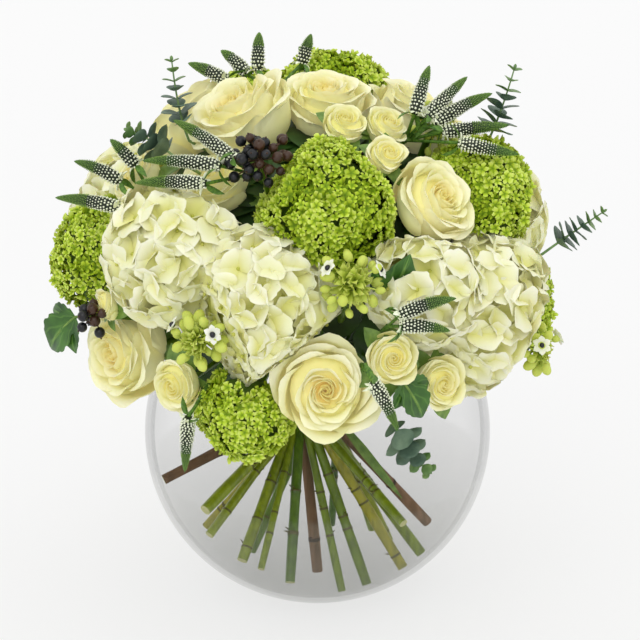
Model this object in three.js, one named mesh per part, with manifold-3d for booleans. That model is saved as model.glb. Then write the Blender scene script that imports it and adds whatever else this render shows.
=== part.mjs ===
// A table centrepiece: a hand-tied dome of cream roses, white hydrangea, guelder rose balls, speedwell
// spikes, gum sprigs, star-of-Bethlehem buds and dark berries, standing in a clear glass fishbowl.
// Millimetres, +Z up. The origin is on the table, under the middle of the bowl. The front faces -Y.
import * as THREE from "three";
import { ConvexGeometry } from "three/addons/geometries/ConvexGeometry.js";
import { mergeVertices } from "three/addons/utils/BufferGeometryUtils.js";
import Module from "manifold-3d";

const wasm = await Module();
wasm.setup();

// Driving sizes of the bowl
const BOWL_RADIUS = 125;
const BOWL_HEIGHT = 200;
const BOWL_FOOT_RADIUS = 45;
const BOWL_WALL = 3.5;
const BOWL_FLOOR = 9;
const BOWL_CENTRE = Math.sqrt(BOWL_RADIUS ** 2 - BOWL_FOOT_RADIUS ** 2);
const BOWL_SIDES = 24;
const BOWL_OUTER_STEPS = 6;
const BOWL_INNER_STEPS = 5;

// Driving sizes of the bunch
const TIE_HEIGHT = 139;
const BUNCH_RADIUS = 20; // at the tie, where the stems are pressed together
const TWINE_THICKNESS = 3;
const RIM_CLEAR_OUT = 78; // a stem that leans over the rim passes here first
const RIM_CLEAR_HEIGHT = BOWL_HEIGHT + 10;
const GAP = 0.35; // between pieces that rest on each other
const PRESS_GAP = 0.5; // between heads that press on each other

// Stem radii
const STEM = { rose: 3, hydrangea: 3.6, guelder: 3.4, spray: 2.2, star: 3, berries: 2, sprig: 1.8 };

// The round heads: kind, azimuth (0 is the front, 90 the right), distance out from the bowl's axis,
// height, radius, elevation of the face, and azimuth of the face where it isn't the head's own.
const HEADS = {
  rose_front: ["rose", 2, 150, 205, 38, 12],
  rose_right: ["rose", 38, 124, 317, 34, 38, 48],
  rose_left: ["rose", -61, 150, 203, 38, 6, -50],
  rose_top: ["rose", -64, 59, 355, 44, 58],
  rose_crown: ["rose", 24, 12, 362, 36, 76, 0],
  rose_rear_right: ["rose", 99, 70, 344, 43, 58],
  rose_rear_left: ["rose", -110, 94, 336, 44, 45],
  rose_back_right: ["rose", 143, 150, 212, 44, 10],
  rose_back_left: ["rose", -145, 150, 214, 44, 10],
  rose_back_top: ["rose", 148, 118, 312, 41, 42],
  hydrangea_left: ["hydrangea", -44, 134, 284, 54, 30],
  hydrangea_front: ["hydrangea", -16, 136, 254, 56, 20],
  hydrangea_middle: ["hydrangea", 29, 144, 268, 42, 25],
  hydrangea_right: ["hydrangea", 52, 136, 237, 60, 8],
  hydrangea_rear_right: ["hydrangea", 108, 117, 270, 58, 22],
  hydrangea_rear_left: ["hydrangea", -108, 130, 264, 60, 20],
  hydrangea_back: ["hydrangea", 180, 134, 238, 60, 12],
  guelder_centre: ["guelder", 4, 103, 314, 49, 50],
  guelder_left: ["guelder", -78, 148, 256, 44, 15],
  guelder_right: ["guelder", 66, 118, 308, 44, 38],
  guelder_low: ["guelder", -19, 146, 183, 34, -20],
  guelder_top: ["guelder", 168, 50, 347, 44, 75],
  guelder_side: ["guelder", 88, 132, 216, 41, 5],
  guelder_back: ["guelder", -156, 106, 314, 50, 50],
  spray_rose_front: ["spray", 17, 165, 229, 20, 15],
  spray_rose_low: ["spray", 31, 157, 203, 21, 8],
  spray_rose_top_a: ["spray", 16, 66, 362, 17, 55],
  spray_rose_top_b: ["spray", 40, 72, 358, 17, 55],
  spray_rose_top_c: ["spray", 28, 99, 346, 16, 48],
  spray_rose_left: ["spray", -70, 130, 318, 22, 38],
  spray_rose_low_left: ["spray", -36, 158, 199, 20, 2],
  spray_rose_bud: ["spray", -58, 170, 241, 14, 15],
  spray_rose_upper: ["spray", -46, 94, 321, 29, 50],
  spray_rose_back_a: ["spray", 178, 104, 318, 34, 48],
  spray_rose_back_b: ["spray", 172, 146, 294, 24, 30],
  star_front: ["star", 8, 160, 280, 25, 25],
  star_low: ["star", -27, 172, 240, 22, 12],
  star_side: ["star", 61, 172, 209, 19, 0],
  star_top: ["star", 72, 86, 350, 24, 50],
  berries_top: ["berries", -20, 110, 348, 26, 55],
  berries_side: ["berries", -59, 176, 236, 15, 10],
};

// Small roses that share a branched stalk, which starts this far under them
const ROSE_SPRAYS = {
  spray_roses_top: ["spray_rose_top_a", "spray_rose_top_b", "spray_rose_top_c"],
  spray_roses_front: ["spray_rose_front", "spray_rose_low"],
  spray_roses_back: ["spray_rose_back_a", "spray_rose_back_b"],
};
const FORK_DEPTH = 16;
const PEDICEL_RADIUS = 1.4;

// Spikes of speedwell, in sprays: where each spray's stalk leaves the dome, then each spike's foot and tip,
// as azimuth, distance out and height.
const SPEEDWELL = {
  speedwell_left: [
    [[-28, 116, 348], [-52, 122, 368]],
    [[-31, 124, 345], [-51, 149, 345]],
    [[-32, 138, 336], [-50, 158, 332]],
  ],
  speedwell_far_left: [
    [[-62, 150, 324], [-67, 178, 338]],
    [[-57, 158, 310], [-67, 192, 314]],
    [[-61, 140, 334], [-65, 154, 352]],
  ],
  speedwell_top: [
    [[-108, 44, 380], [-122, 48, 405]],
    [[-114, 54, 376], [-119, 78, 389]],
    [[-106, 66, 372], [-110, 97, 381]],
    [[-150, 22, 384], [-170, 25, 404]],
  ],
  speedwell_right: [
    [[56, 96, 360], [74, 124, 376]],
    [[48, 88, 368], [62, 86, 397]],
    [[53, 92, 364], [75, 106, 386]],
    [[54, 104, 356], [66, 142, 360]],
    [[52, 120, 352], [60, 156, 345]],
  ],
  speedwell_middle: [
    [[17, 182, 264], [27, 197, 276]],
    [[17, 183, 257], [26, 196, 254]],
  ],
  speedwell_back: [
    [[180, 98, 350], [-174, 132, 370]],
    [[176, 108, 344], [170, 146, 350]],
    [[-178, 116, 338], [-178, 158, 332]],
  ],
  speedwell_low_right: [[[11, 188, 222], [16, 191, 188]]],
  speedwell_low_left: [[[-29, 176, 186], [-32, 168, 142]]],
};

// Gum sprigs: foot, bend and tip, as azimuth, distance out and height, then the largest leaf's length.
const GUM = {
  gum_top_left: [[-66, 96, 344], [-66, 104, 364], [-72, 104, 398], 15],
  gum_left: [[-50, 118, 338], [-56, 128, 352], [-66, 140, 356], 17],
  gum_top_right: [[78, 118, 336], [80, 126, 350], [84, 136, 388], 17],
  gum_right: [[66, 168, 272], [68, 182, 284], [72, 204, 300], 15],
  gum_back: [[152, 150, 286], [156, 168, 300], [160, 184, 324], 16],
  gum_low_right: [[16, 172, 194], [18, 172, 172], [28, 160, 142], 17],
};

// Single broad leaves: foot and tip, then width and the azimuth that the blade faces.
const LEAVES = {
  leaf_side: [[-70, 178, 224], [-76, 192, 196], 28, -30],
  leaf_middle: [[19, 150, 268], [21, 168, 300], 24, 8],
  leaf_low: [[20, 165, 211], [25, 165, 184], 22, 21],
};

// Feet of the stems on the glass: azimuth, distance out and stem radius. The bowl gives their height.
const GREEN_FEET = [
  [-44, 113, 4.6],
  [-46, 106, 3.6],
  [-100, 84, 3.4],
  [-34, 95, 4.2],
  [-25, 94, 2.8],
  [-110, 52, 3.6],
  [-14, 80, 4],
  [170, 62, 3],
  [18, 57, 3.2],
  [35, 62, 4],
  [140, 64, 3.4],
  [54, 76, 4.2],
  [70, 80, 4.2],
  [32, 113, 3.6],
  [-150, 82, 3.6],
  [165, 95, 4],
  [120, 62, 3.2],
];
const WOODY_STEMS = {
  woody_stem_left: { foot: [-79, 113, 4.2], head: "guelder_right" },
  woody_stem_middle: { foot: [0, 20, 4.2], head: "guelder_back" },
  woody_stem_right: { foot: [104, 84, 4.2], head: "guelder_left" },
};
const FOOT_TWIST = 75; // degrees round the tie between a stem's foot and where the tie holds it

const MATERIALS = {
  glass: { color: 0xdfe6e4, roughness: 0.03, transparent: true, opacity: 0.3 },
  twine: { color: 0xa08a5a, roughness: 0.9 },
  green_stem: { color: 0x5f8a2c, roughness: 0.55 },
  woody_stem: { color: 0x6b4f3c, roughness: 0.8 },
  rose: { color: 0xf6efc4, roughness: 0.6 },
  hydrangea: { color: 0xf4f3dc, roughness: 0.65 },
  guelder: { color: 0xa3c93a, roughness: 0.65 },
  speedwell: { color: 0x7f9a63, roughness: 0.75 },
  gum: { color: 0x5b7468, roughness: 0.6 },
  star: { color: 0xb9cc5a, roughness: 0.5 },
  berry: { color: 0x2a2228, roughness: 0.3 },
  leaf: { color: 0x3f7a26, roughness: 0.5 },
};
const KIND_MATERIAL = { spray: "rose", berries: "berry" };

const GOLDEN_ANGLE = Math.PI * (3 - Math.sqrt(5));
const UP = new THREE.Vector3(0, 0, 1);
const rad = THREE.MathUtils.degToRad;

// A point or a direction from an azimuth
function at(azimuth, out, height) {
  return new THREE.Vector3(out * Math.sin(rad(azimuth)), -out * Math.cos(rad(azimuth)), height);
}
const azimuthOf = (point) => THREE.MathUtils.radToDeg(Math.atan2(point.x, -point.y));
function facing(azimuth, elevation) {
  return at(azimuth, Math.cos(rad(elevation)), Math.sin(rad(elevation)));
}

// A fixed number from 0 to 1 for each seed
function chance(seed) {
  const wave = Math.sin(seed * 12.9898 + 4.1) * 43758.5453;
  return wave - Math.floor(wave);
}

function scatter(seed) {
  const spot = new THREE.Vector3(chance(seed), chance(seed + 0.3), chance(seed + 0.6));
  return spot.multiplyScalar(2).subScalar(1);
}

// Solids from closed geometries and back
function solidOf(geometry) {
  const loose = geometry.index ? geometry.toNonIndexed() : geometry;
  const bare = new THREE.BufferGeometry().setAttribute("position", loose.getAttribute("position"));
  const merged = mergeVertices(bare, 1e-3);
  const mesh = new wasm.Mesh({
    numProp: 3,
    vertProperties: merged.getAttribute("position").array,
    triVerts: new Uint32Array(merged.index.array),
  });
  return new wasm.Manifold(mesh);
}
function geometryOf(solid) {
  const mesh = solid.getMesh();
  const geometry = new THREE.BufferGeometry();
  geometry.setAttribute("position", new THREE.BufferAttribute(new Float32Array(mesh.vertProperties), 3));
  geometry.setIndex(new THREE.BufferAttribute(new Uint32Array(mesh.triVerts), 1));
  geometry.computeVertexNormals();
  return geometry;
}

// Joins and cuts
const SHORTEST_EDGE = 0.02; // what a cut leaves shorter than this is closed up
const touches = (a, b) => a.intersect(b).volume() > 0;
function cut(solid, rooms) {
  return rooms.reduce((rest, room) => (touches(rest, room) ? rest.subtract(room) : rest), solid);
}
const fuse = (solids) => solids.reduce((whole, next) => whole.add(next));
function largestBody(solid) {
  const whole = solid.simplify(SHORTEST_EDGE);
  return whole.decompose().reduce((best, next) => (next.volume() > best.volume() ? next : best));
}

// The triangles round rings of points, up to a last single point where there is one
function sidesOf(rings, apex) {
  const corners = [];
  const sides = rings[0].length;
  const last = rings.at(-1);
  for (let k = 0; k + 1 < rings.length; k++) {
    for (let j = 0; j < sides; j++) {
      const next = (j + 1) % sides;
      corners.push(rings[k][j], rings[k][next], rings[k + 1][next]);
      corners.push(rings[k][j], rings[k + 1][next], rings[k + 1][j]);
    }
  }
  if (apex) for (let j = 0; j < sides; j++) corners.push(last[j], last[(j + 1) % sides], apex);
  return corners;
}

// A closed surface through rings of points, flat at its ends unless a last single point is given
function loft(rings, apex) {
  const corners = sidesOf(rings, apex);
  const first = rings[0];
  const last = rings.at(-1);
  for (let j = 1; j + 1 < first.length; j++) {
    corners.push(first[0], first[j + 1], first[j]);
    if (!apex) corners.push(last[0], last[j], last[j + 1]);
  }
  return new THREE.BufferGeometry().setFromPoints(corners);
}

// Rings of points round a line, where radiusAt(station, side) is the radius
function ringsAlong(points, radiusAt, sides, halfTurns = 0) {
  const across = new THREE.Vector3(0.2, 1, 0.3);
  return points.map((point, i) => {
    const before = points[Math.max(i - 1, 0)];
    const after = points[Math.min(i + 1, points.length - 1)];
    const tangent = after.clone().sub(before).normalize();
    across.addScaledVector(tangent, -across.dot(tangent)).normalize();
    const other = tangent.clone().cross(across);
    return Array.from({ length: sides }, (_, j) => {
      const turn = (2 * Math.PI * (j + (i % 2) * halfTurns)) / sides;
      const reach = radiusAt(i, j);
      const corner = point.clone().addScaledVector(across, reach * Math.cos(turn));
      return corner.addScaledVector(other, reach * Math.sin(turn));
    });
  });
}
const pipe = (points, radius, sides) => solidOf(loft(ringsAlong(points, () => radius, sides)));

// A pipe whose end is cut square to an axis that isn't its own
function mitredPipe(points, radius, sides, axis) {
  const rings = ringsAlong(points, () => radius, sides);
  const end = points.at(-1);
  const along = end.clone().sub(points.at(-2)).normalize();
  for (const corner of rings.at(-1)) {
    corner.addScaledVector(along, -corner.clone().sub(end).dot(axis) / along.dot(axis));
  }
  return solidOf(loft(rings));
}

// Bowl
function bowl() {
  const inner = BOWL_RADIUS - BOWL_WALL;
  const outerFrom = Math.asin(-BOWL_CENTRE / BOWL_RADIUS);
  const outerTo = Math.asin((BOWL_HEIGHT - BOWL_CENTRE) / BOWL_RADIUS);
  const innerFrom = Math.asin((BOWL_FLOOR - BOWL_CENTRE) / inner);
  const innerTo = Math.asin((BOWL_HEIGHT - BOWL_CENTRE) / inner);
  const profile = [new THREE.Vector2(0, 0)];
  const onSphere = (radius, angle) =>
    new THREE.Vector2(radius * Math.cos(angle), BOWL_CENTRE + radius * Math.sin(angle));
  for (let i = 0; i <= BOWL_OUTER_STEPS; i++) {
    const angle = THREE.MathUtils.lerp(outerFrom, outerTo, i / BOWL_OUTER_STEPS);
    profile.push(onSphere(BOWL_RADIUS, angle));
  }
  for (let i = 0; i <= BOWL_INNER_STEPS; i++) {
    const angle = THREE.MathUtils.lerp(innerTo, innerFrom, i / BOWL_INNER_STEPS);
    profile.push(onSphere(inner, angle));
  }
  profile.push(new THREE.Vector2(0, BOWL_FLOOR));
  profile[1].y = 0;
  return solidOf(new THREE.LatheGeometry(profile, BOWL_SIDES).rotateX(Math.PI / 2));
}

// A ball of raised florets. Each floret has a low middle, high petal tips and low notches between petals.
// Corners are the angles of a petal's high points from its middle. Area is what one floret covers on a ball
// of the usual radius, and flat is the ball's height as a share of its width.
const USUAL_BALL = 33;
const FLORETS = {
  hydrangea: { petals: 4, corners: [-0.36, 0.36], notch: 0.8, middle: 0.93, area: 1320, flat: 0.88 },
  guelder: { petals: 5, corners: [0], notch: 0.84, middle: 0.95, area: 880, flat: 0.94 },
};
const COVER = rad(110); // from the top of the ball down to its last florets
const HEM_SHARE = 0.82; // the radius just under the last florets
const SEAT_ANGLE = rad(160);
const SEAT_SHARE = 0.62;
const HEM_SIDES = 6;

function floretBall(kind, radius, seed) {
  const { petals, corners, notch, middle, area, flat } = FLORETS[kind];
  const coverArea = 2 * Math.PI * radius ** 2 * (1 - Math.cos(COVER));
  const florets = Math.round(coverArea / (area * (radius / USUAL_BALL) ** 0.9));
  const half = Math.acos(1 - (1 - Math.cos(COVER)) / florets) * 0.98;
  const sites = [];
  const add = (direction, share) => {
    const crowded = sites.some((s) => s.direction.angleTo(direction) < half * 0.3);
    if (!crowded) sites.push({ direction, share });
  };
  const frames = Array.from({ length: florets }, (_, i) => {
    const polarAngle = Math.acos(1 - ((i + 0.5) / florets) * (1 - Math.cos(COVER)));
    const centre = new THREE.Vector3().setFromSphericalCoords(1, polarAngle, i * GOLDEN_ANGLE);
    const tilt = new THREE.Quaternion().setFromUnitVectors(UP, centre.set(centre.x, centre.z, centre.y));
    return { centre, tilt, roll: chance(seed + i) * 2 * Math.PI, lift: 0.96 + 0.04 * chance(seed * 3 + i) };
  });
  const outward = (frame, angle, spread) => {
    const direction = new THREE.Vector3(Math.cos(angle), Math.sin(angle)).multiplyScalar(Math.sin(spread));
    return direction.setZ(Math.cos(spread)).applyQuaternion(frame.tilt);
  };
  for (const frame of frames) add(frame.centre, middle * frame.lift);
  for (const frame of frames) {
    for (let p = 0; p < petals; p++) {
      const angle = frame.roll + (p * 2 * Math.PI) / petals;
      for (const corner of corners) add(outward(frame, angle + corner, half), frame.lift);
      add(outward(frame, angle + Math.PI / petals, half * 0.5), notch);
    }
  }
  const hemAngle = COVER + half * 1.3;
  const hems = [[SEAT_ANGLE, SEAT_SHARE]];
  if (hemAngle < SEAT_ANGLE) hems.unshift([hemAngle, HEM_SHARE]);
  for (let j = 0; j < HEM_SIDES; j++) {
    const angle = (j * 2 * Math.PI) / HEM_SIDES;
    for (const [polarAngle, share] of hems) {
      const spot = new THREE.Vector3(Math.cos(angle), Math.sin(angle)).multiplyScalar(Math.sin(polarAngle));
      sites.push({ direction: spot.setZ(Math.cos(polarAngle)), share });
    }
  }
  const hull = new ConvexGeometry(sites.map((s) => s.direction));
  const position = hull.getAttribute("position");
  const corner = new THREE.Vector3();
  for (let i = 0; i < position.count; i++) {
    corner.fromBufferAttribute(position, i);
    const site = sites.reduce((best, s) =>
      s.direction.distanceToSquared(corner) < best.direction.distanceToSquared(corner) ? s : best,
    );
    position.setXYZ(i, ...corner.multiplyScalar(site.share * radius).toArray());
  }
  hull.scale(1, 1, flat);
  return { shape: hull, seat: -radius * SEAT_SHARE * Math.cos(SEAT_ANGLE) * flat };
}

// A rose as cups of petals inside one another. Each row is one ring, from the seat over the guard petals
// to the heart: distance out and height as shares of the radius, lobes, depth of the lobes, turn of the
// lobes in degrees, and how far the petals' middles rise.
const ROSES = {
  rose: {
    sides: 10,
    rings: [
      [0.18, -0.6, 0, 0, 0, 0],
      [0.62, -0.38, 5, 0.05, 0, 0],
      [0.97, 0.08, 5, 0.07, 0, 0.05],
      [0.7, -0.02, 0, 0, 0, 0],
      [0.76, 0.3, 5, 0.06, 36, 0.05],
      [0.48, 0.1, 0, 0, 0, 0],
      [0.5, 0.39, 5, 0.07, 0, 0.04],
      [0.27, 0.2, 0, 0, 0, 0],
      [0.25, 0.41, 3, 0.14, 80, 0.03],
      [0.1, 0.26, 0, 0, 0, 0],
    ],
    heart: 0.4,
  },
  spray: {
    sides: 9,
    rings: [
      [0.36, -0.62, 0, 0, 0, 0],
      [0.98, 0.1, 3, 0.1, 0, 0.08],
      [0.6, 0, 0, 0, 0, 0],
      [0.62, 0.36, 3, 0.1, 60, 0.05],
      [0.3, 0.2, 0, 0, 0, 0],
    ],
    heart: 0.5,
  },
};
function roseHead(kind, radius, seed) {
  const { sides, rings, heart } = ROSES[kind];
  const turnAll = chance(seed) * 2 * Math.PI;
  const points = rings.map(([out, height, lobes, depth, turn, rise]) =>
    Array.from({ length: sides }, (_, j) => {
      const angle = (2 * Math.PI * j) / sides;
      const wave = lobes ? Math.cos(lobes * (angle - rad(turn))) : 0;
      const reach = radius * out * (1 + depth * wave);
      const lift = radius * (height + rise * wave);
      return new THREE.Vector3(reach * Math.cos(angle + turnAll), reach * Math.sin(angle + turnAll), lift);
    }),
  );
  return { shape: loft(points, new THREE.Vector3(0, 0, radius * heart)), seat: -rings[0][1] * radius };
}

// A knot of club-shaped buds. The middle is a dodecahedron that stands on one face, and each of its other
// faces draws out into a neck, a belly and a point.
const BUDS = {
  star: { core: 0.4, neck: 1.8, belly: 4.6, lift: 4, point: 5.5 },
  berries: { core: 0.2, neck: 1.2, belly: 4.3, lift: 3, point: 2.6 },
};
const SMALL_KNOT = 16; // a knot with a smaller radius stays bare on its lower faces
const FACE_CORNERS = [2, 0, 1, 4, 7]; // of a dodecahedron's face, in order round it
function pentagons(radius) {
  const position = new THREE.DodecahedronGeometry(radius).getAttribute("position");
  return Array.from({ length: 12 }, (_, face) =>
    FACE_CORNERS.map((corner) => new THREE.Vector3().fromBufferAttribute(position, face * 9 + corner)),
  );
}
const middleOf = (ring) => ring.reduce((sum, p) => sum.add(p), new THREE.Vector3()).divideScalar(ring.length);
function budCluster(kind, radius, seed) {
  const { core, neck, belly, lift, point } = BUDS[kind];
  const faces = pentagons(radius * core);
  const turn = new THREE.Quaternion().setFromUnitVectors(middleOf(faces[0]).normalize(), UP.clone().negate());
  const corners = [];
  faces.forEach((face, index) => {
    const ring = face.map((corner) => corner.applyQuaternion(turn));
    const middle = middleOf(ring);
    if (index === 0 || (radius < SMALL_KNOT && middle.z < 0)) {
      for (let j = 1; j + 1 < ring.length; j++) corners.push(ring[0], ring[j], ring[j + 1]);
      return;
    }
    const along = middle.clone().normalize().add(scatter(seed + index).multiplyScalar(0.22)).normalize();
    const reach = radius * (0.9 + 0.14 * chance(seed + index * 7));
    const shrunk = (distance, width) =>
      ring.map((corner) => {
        const side = corner.clone().sub(middle);
        side.addScaledVector(along, -side.dot(along)).setLength(width);
        return side.addScaledVector(along, distance);
      });
    const tip = along.clone().setLength(reach);
    const stations = [ring, shrunk(reach - point - lift, neck), shrunk(reach - point, belly)];
    corners.push(...sidesOf(stations, tip));
  });
  return { shape: new THREE.BufferGeometry().setFromPoints(corners), seat: -middleOf(faces[0]).z };
}

function headShape(kind, radius, seed) {
  if (FLORETS[kind]) return floretBall(kind, radius, seed);
  if (ROSES[kind]) return roseHead(kind, radius, seed);
  return budCluster(kind, radius, seed);
}

// The half-space beyond a plane, as a large block
const BLOCK_SIDE = 260;
function beyond(point, direction) {
  const block = new THREE.BoxGeometry(BLOCK_SIDE, BLOCK_SIDE, BLOCK_SIDE).translate(0, 0, BLOCK_SIDE / 2);
  const turn = new THREE.Quaternion().setFromUnitVectors(UP, direction);
  block.applyQuaternion(turn).translate(...point.toArray());
  return solidOf(block);
}

// Every head in its place. Where two would run into each other, both stop at the plane between them. A head
// of florets is pressed flat there, and any other is cut.
const heads = Object.entries(HEADS).map(([name, row], index) => {
  const [kind, azimuth, out, height, radius, elevation, faceAzimuth = azimuth] = row;
  const centre = at(azimuth, out, height);
  const axis = facing(faceAzimuth, elevation);
  const { shape, seat } = headShape(kind, radius, 11 + index * 17);
  const place = new THREE.Matrix4()
    .makeRotationFromQuaternion(new THREE.Quaternion().setFromUnitVectors(UP, axis))
    .setPosition(centre);
  shape.applyMatrix4(place);
  const seatPoint = centre.clone().addScaledVector(axis, -seat);
  return { name, kind, centre, axis, radius, place, seat: seatPoint, shape };
});

// How much of its radius a firm head keeps when it is pressed by a ball of florets
const FIRM = { rose: 0.86, spray: 0.92, star: 0.8, berries: 0.8 };
function pressedReach(one, other, distance) {
  const plane = (distance ** 2 + one.radius ** 2 - other.radius ** 2) / (2 * distance);
  if (FIRM[one.kind] && !FIRM[other.kind]) return Math.max(plane, one.radius * FIRM[one.kind]);
  if (FIRM[other.kind] && !FIRM[one.kind]) return Math.min(plane, distance - other.radius * FIRM[other.kind]);
  return plane;
}
function planesRound(one) {
  const planes = [];
  for (const other of heads) {
    const between = other.centre.clone().sub(one.centre);
    const distance = between.length();
    if (one === other || distance > one.radius + other.radius + PRESS_GAP) continue;
    const reach = pressedReach(one, other, distance) - PRESS_GAP / 2;
    planes.push({ direction: between.normalize(), reach });
  }
  return planes;
}
function pressedFlat({ shape, centre }, planes) {
  const position = shape.getAttribute("position");
  const corner = new THREE.Vector3();
  for (let i = 0; i < position.count; i++) {
    corner.fromBufferAttribute(position, i).sub(centre);
    const shares = planes.map((p) => p.reach / Math.max(corner.dot(p.direction), p.reach));
    const share = Math.min(1, ...shares);
    position.setXYZ(i, ...corner.multiplyScalar(share).add(centre).toArray());
  }
  return solidOf(shape);
}
function pressed(head) {
  const planes = planesRound(head);
  if (FLORETS[head.kind]) return pressedFlat(head, planes);
  const walls = planes.map(({ direction, reach }) => {
    return beyond(head.centre.clone().addScaledVector(direction, reach), direction);
  });
  return cut(solidOf(head.shape), walls);
}

// Stems above the tie, each from inside the bunch to the seat of its head
const STEM_SIDES = 3;
const FOOT_SIDES = 4;
const WOODY_SIDES = 6;
const HOLE_CLEAR = 0.8; // round a stem that passes a head
const ROOM_CLEAR = 0.7; // round a leaf's stalk
const WOODY_CLEAR = 0.6; // round a woody stem in the bundle
const HOLD_RISE = 6; // how far from the tie's middle the stems' ends are held
const LEAN_HEIGHT = BOWL_HEIGHT + 45; // a head seated lower than this leans over the rim
function stemRoute(seat, axis) {
  const out = Math.hypot(seat.x, seat.y);
  const azimuth = azimuthOf(seat);
  const start = at(azimuth, BUNCH_RADIUS * (0.1 + (0.4 * out) / BOWL_RADIUS), TIE_HEIGHT + HOLD_RISE);
  const end = seat.clone().addScaledVector(axis, -GAP);
  const overRim = out > RIM_CLEAR_OUT && end.z < LEAN_HEIGHT;
  return overRim ? [start, at(azimuth, RIM_CLEAR_OUT, RIM_CLEAR_HEIGHT), end] : [start, end];
}

// Stems below the tie, each from where the tie holds it to its foot on the glass
function footRoute([azimuth, out, radius], holdShare) {
  const clear = radius + GAP;
  const inner = BOWL_RADIUS - BOWL_WALL - clear;
  const onWall = BOWL_CENTRE - Math.sqrt(inner ** 2 - out ** 2);
  const foot = at(azimuth, out, Math.max(onWall, BOWL_FLOOR + clear));
  return [at(azimuth - FOOT_TWIST, BUNCH_RADIUS * holdShare, TIE_HEIGHT - HOLD_RISE), foot];
}

const WOODY_HOLD = 0.6; // share of the bunch's radius
const WOODY_RISE = 20; // over the tie, where it leaves the bundle
function woodyStem({ foot, head }) {
  const { seat, axis } = heads.find((h) => h.name === head);
  const below = footRoute(foot, WOODY_HOLD).reverse();
  const above = stemRoute(seat, axis).slice(1);
  const rise = at(azimuthOf(seat), BUNCH_RADIUS * WOODY_HOLD, TIE_HEIGHT + WOODY_RISE);
  const along = (radius) => mitredPipe([...below, rise, ...above], radius, WOODY_SIDES, axis);
  return { stem: along(foot[2]), hole: along(foot[2] + WOODY_CLEAR) };
}

// A body turned round the bowl's axis, from distances out and heights over the tie
const BUNCH_SIDES = 12;
function turned(profile) {
  const points = profile.map(([out, rise]) => new THREE.Vector2(out, TIE_HEIGHT + rise));
  return solidOf(new THREE.LatheGeometry(points, BUNCH_SIDES).rotateX(Math.PI / 2));
}

// The bundle, where the stems are pressed into one, and every stem that grows from it
const BUNDLE_HALF = 9;
const BUNDLE_FLARE = [BUNCH_RADIUS * 2, 42];
const BUNDLE_TOP = 52;
function greenStems(seats, holes) {
  const bundle = [[0, -BUNDLE_HALF], [BUNCH_RADIUS, -BUNDLE_HALF], [BUNCH_RADIUS, BUNDLE_HALF]];
  const parts = [turned([...bundle, BUNDLE_FLARE, [0, BUNDLE_TOP]])];
  for (const { seat, axis, radius } of seats) {
    parts.push(mitredPipe(stemRoute(seat, axis), radius, STEM_SIDES, axis));
  }
  for (const foot of GREEN_FEET) {
    const holdShare = 0.5 + 0.25 * chance(foot[0]);
    parts.push(pipe(footRoute(foot, holdShare), foot[2], FOOT_SIDES));
  }
  return largestBody(cut(fuse(parts), holes));
}

// Twine round the bundle
const TWINE_HALF = 5;
const TWINE_FACE_HALF = 3.5;
function twine() {
  const inner = BUNCH_RADIUS + GAP;
  const outer = inner + TWINE_THICKNESS;
  const face = [[outer, -TWINE_FACE_HALF], [outer, TWINE_FACE_HALF]];
  return turned([[inner, -TWINE_HALF], ...face, [inner, TWINE_HALF], [inner, -TWINE_HALF]]);
}

// A speedwell spike: a thin stalk, then rows of raised buds on a tapering core, and a smooth green tip
const SPIKE_SIDES = 5;
const SPIKE_ROWS = [0.42, 1, 0.98, 0.8, 0.45];
const SPIKE_RADIUS = 5.6;
const SPIKE_RELIEF = 0.14;
const STALK_RADIUS = 1.3;
function spikePoints(foot, tip, bow) {
  const bend = foot.clone().lerp(tip, 0.5).add(new THREE.Vector3(0, 0, bow));
  return new THREE.QuadraticBezierCurve3(foot, bend, tip).getPoints(SPIKE_ROWS.length);
}
function spike(fork, foot, tip, bow) {
  const lastBudRow = SPIKE_ROWS.length - 2;
  const relief = (i, j) => {
    if (i === 0) return STALK_RADIUS;
    const raised = i > lastBudRow ? 0 : SPIKE_RELIEF * ((i + j) % 2 ? 1 : -1);
    return SPIKE_RADIUS * (SPIKE_ROWS[i - 1] ?? 0) * (1 + raised);
  };
  const line = [fork, ...spikePoints(foot, tip, bow)];
  const rings = ringsAlong(line, relief, SPIKE_SIDES, 0.5);
  return solidOf(loft(rings.slice(0, -1), line.at(-1)));
}

// Where a spray's stalk starts, well inside the dome
const SPRAY_REACH = 52; // from the stalk's start out to the first leaf or spike
const SPRAY_CORE = 18; // the least distance from the bowl's axis
const SPRAY_DROP = 34;
const LOW_SPRAY_HEIGHT = BOWL_HEIGHT + 40; // lower than this, a stalk comes out over the rim
const LOW_SPRAY_START = BOWL_HEIGHT + 14;
function innerFoot(point, azimuth) {
  const inside = Math.max(Math.hypot(point.x, point.y) - SPRAY_REACH, SPRAY_CORE);
  const low = point.z < LOW_SPRAY_HEIGHT;
  return at(azimuth, inside, low ? Math.max(LOW_SPRAY_START, point.z) : point.z - SPRAY_DROP);
}

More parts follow.
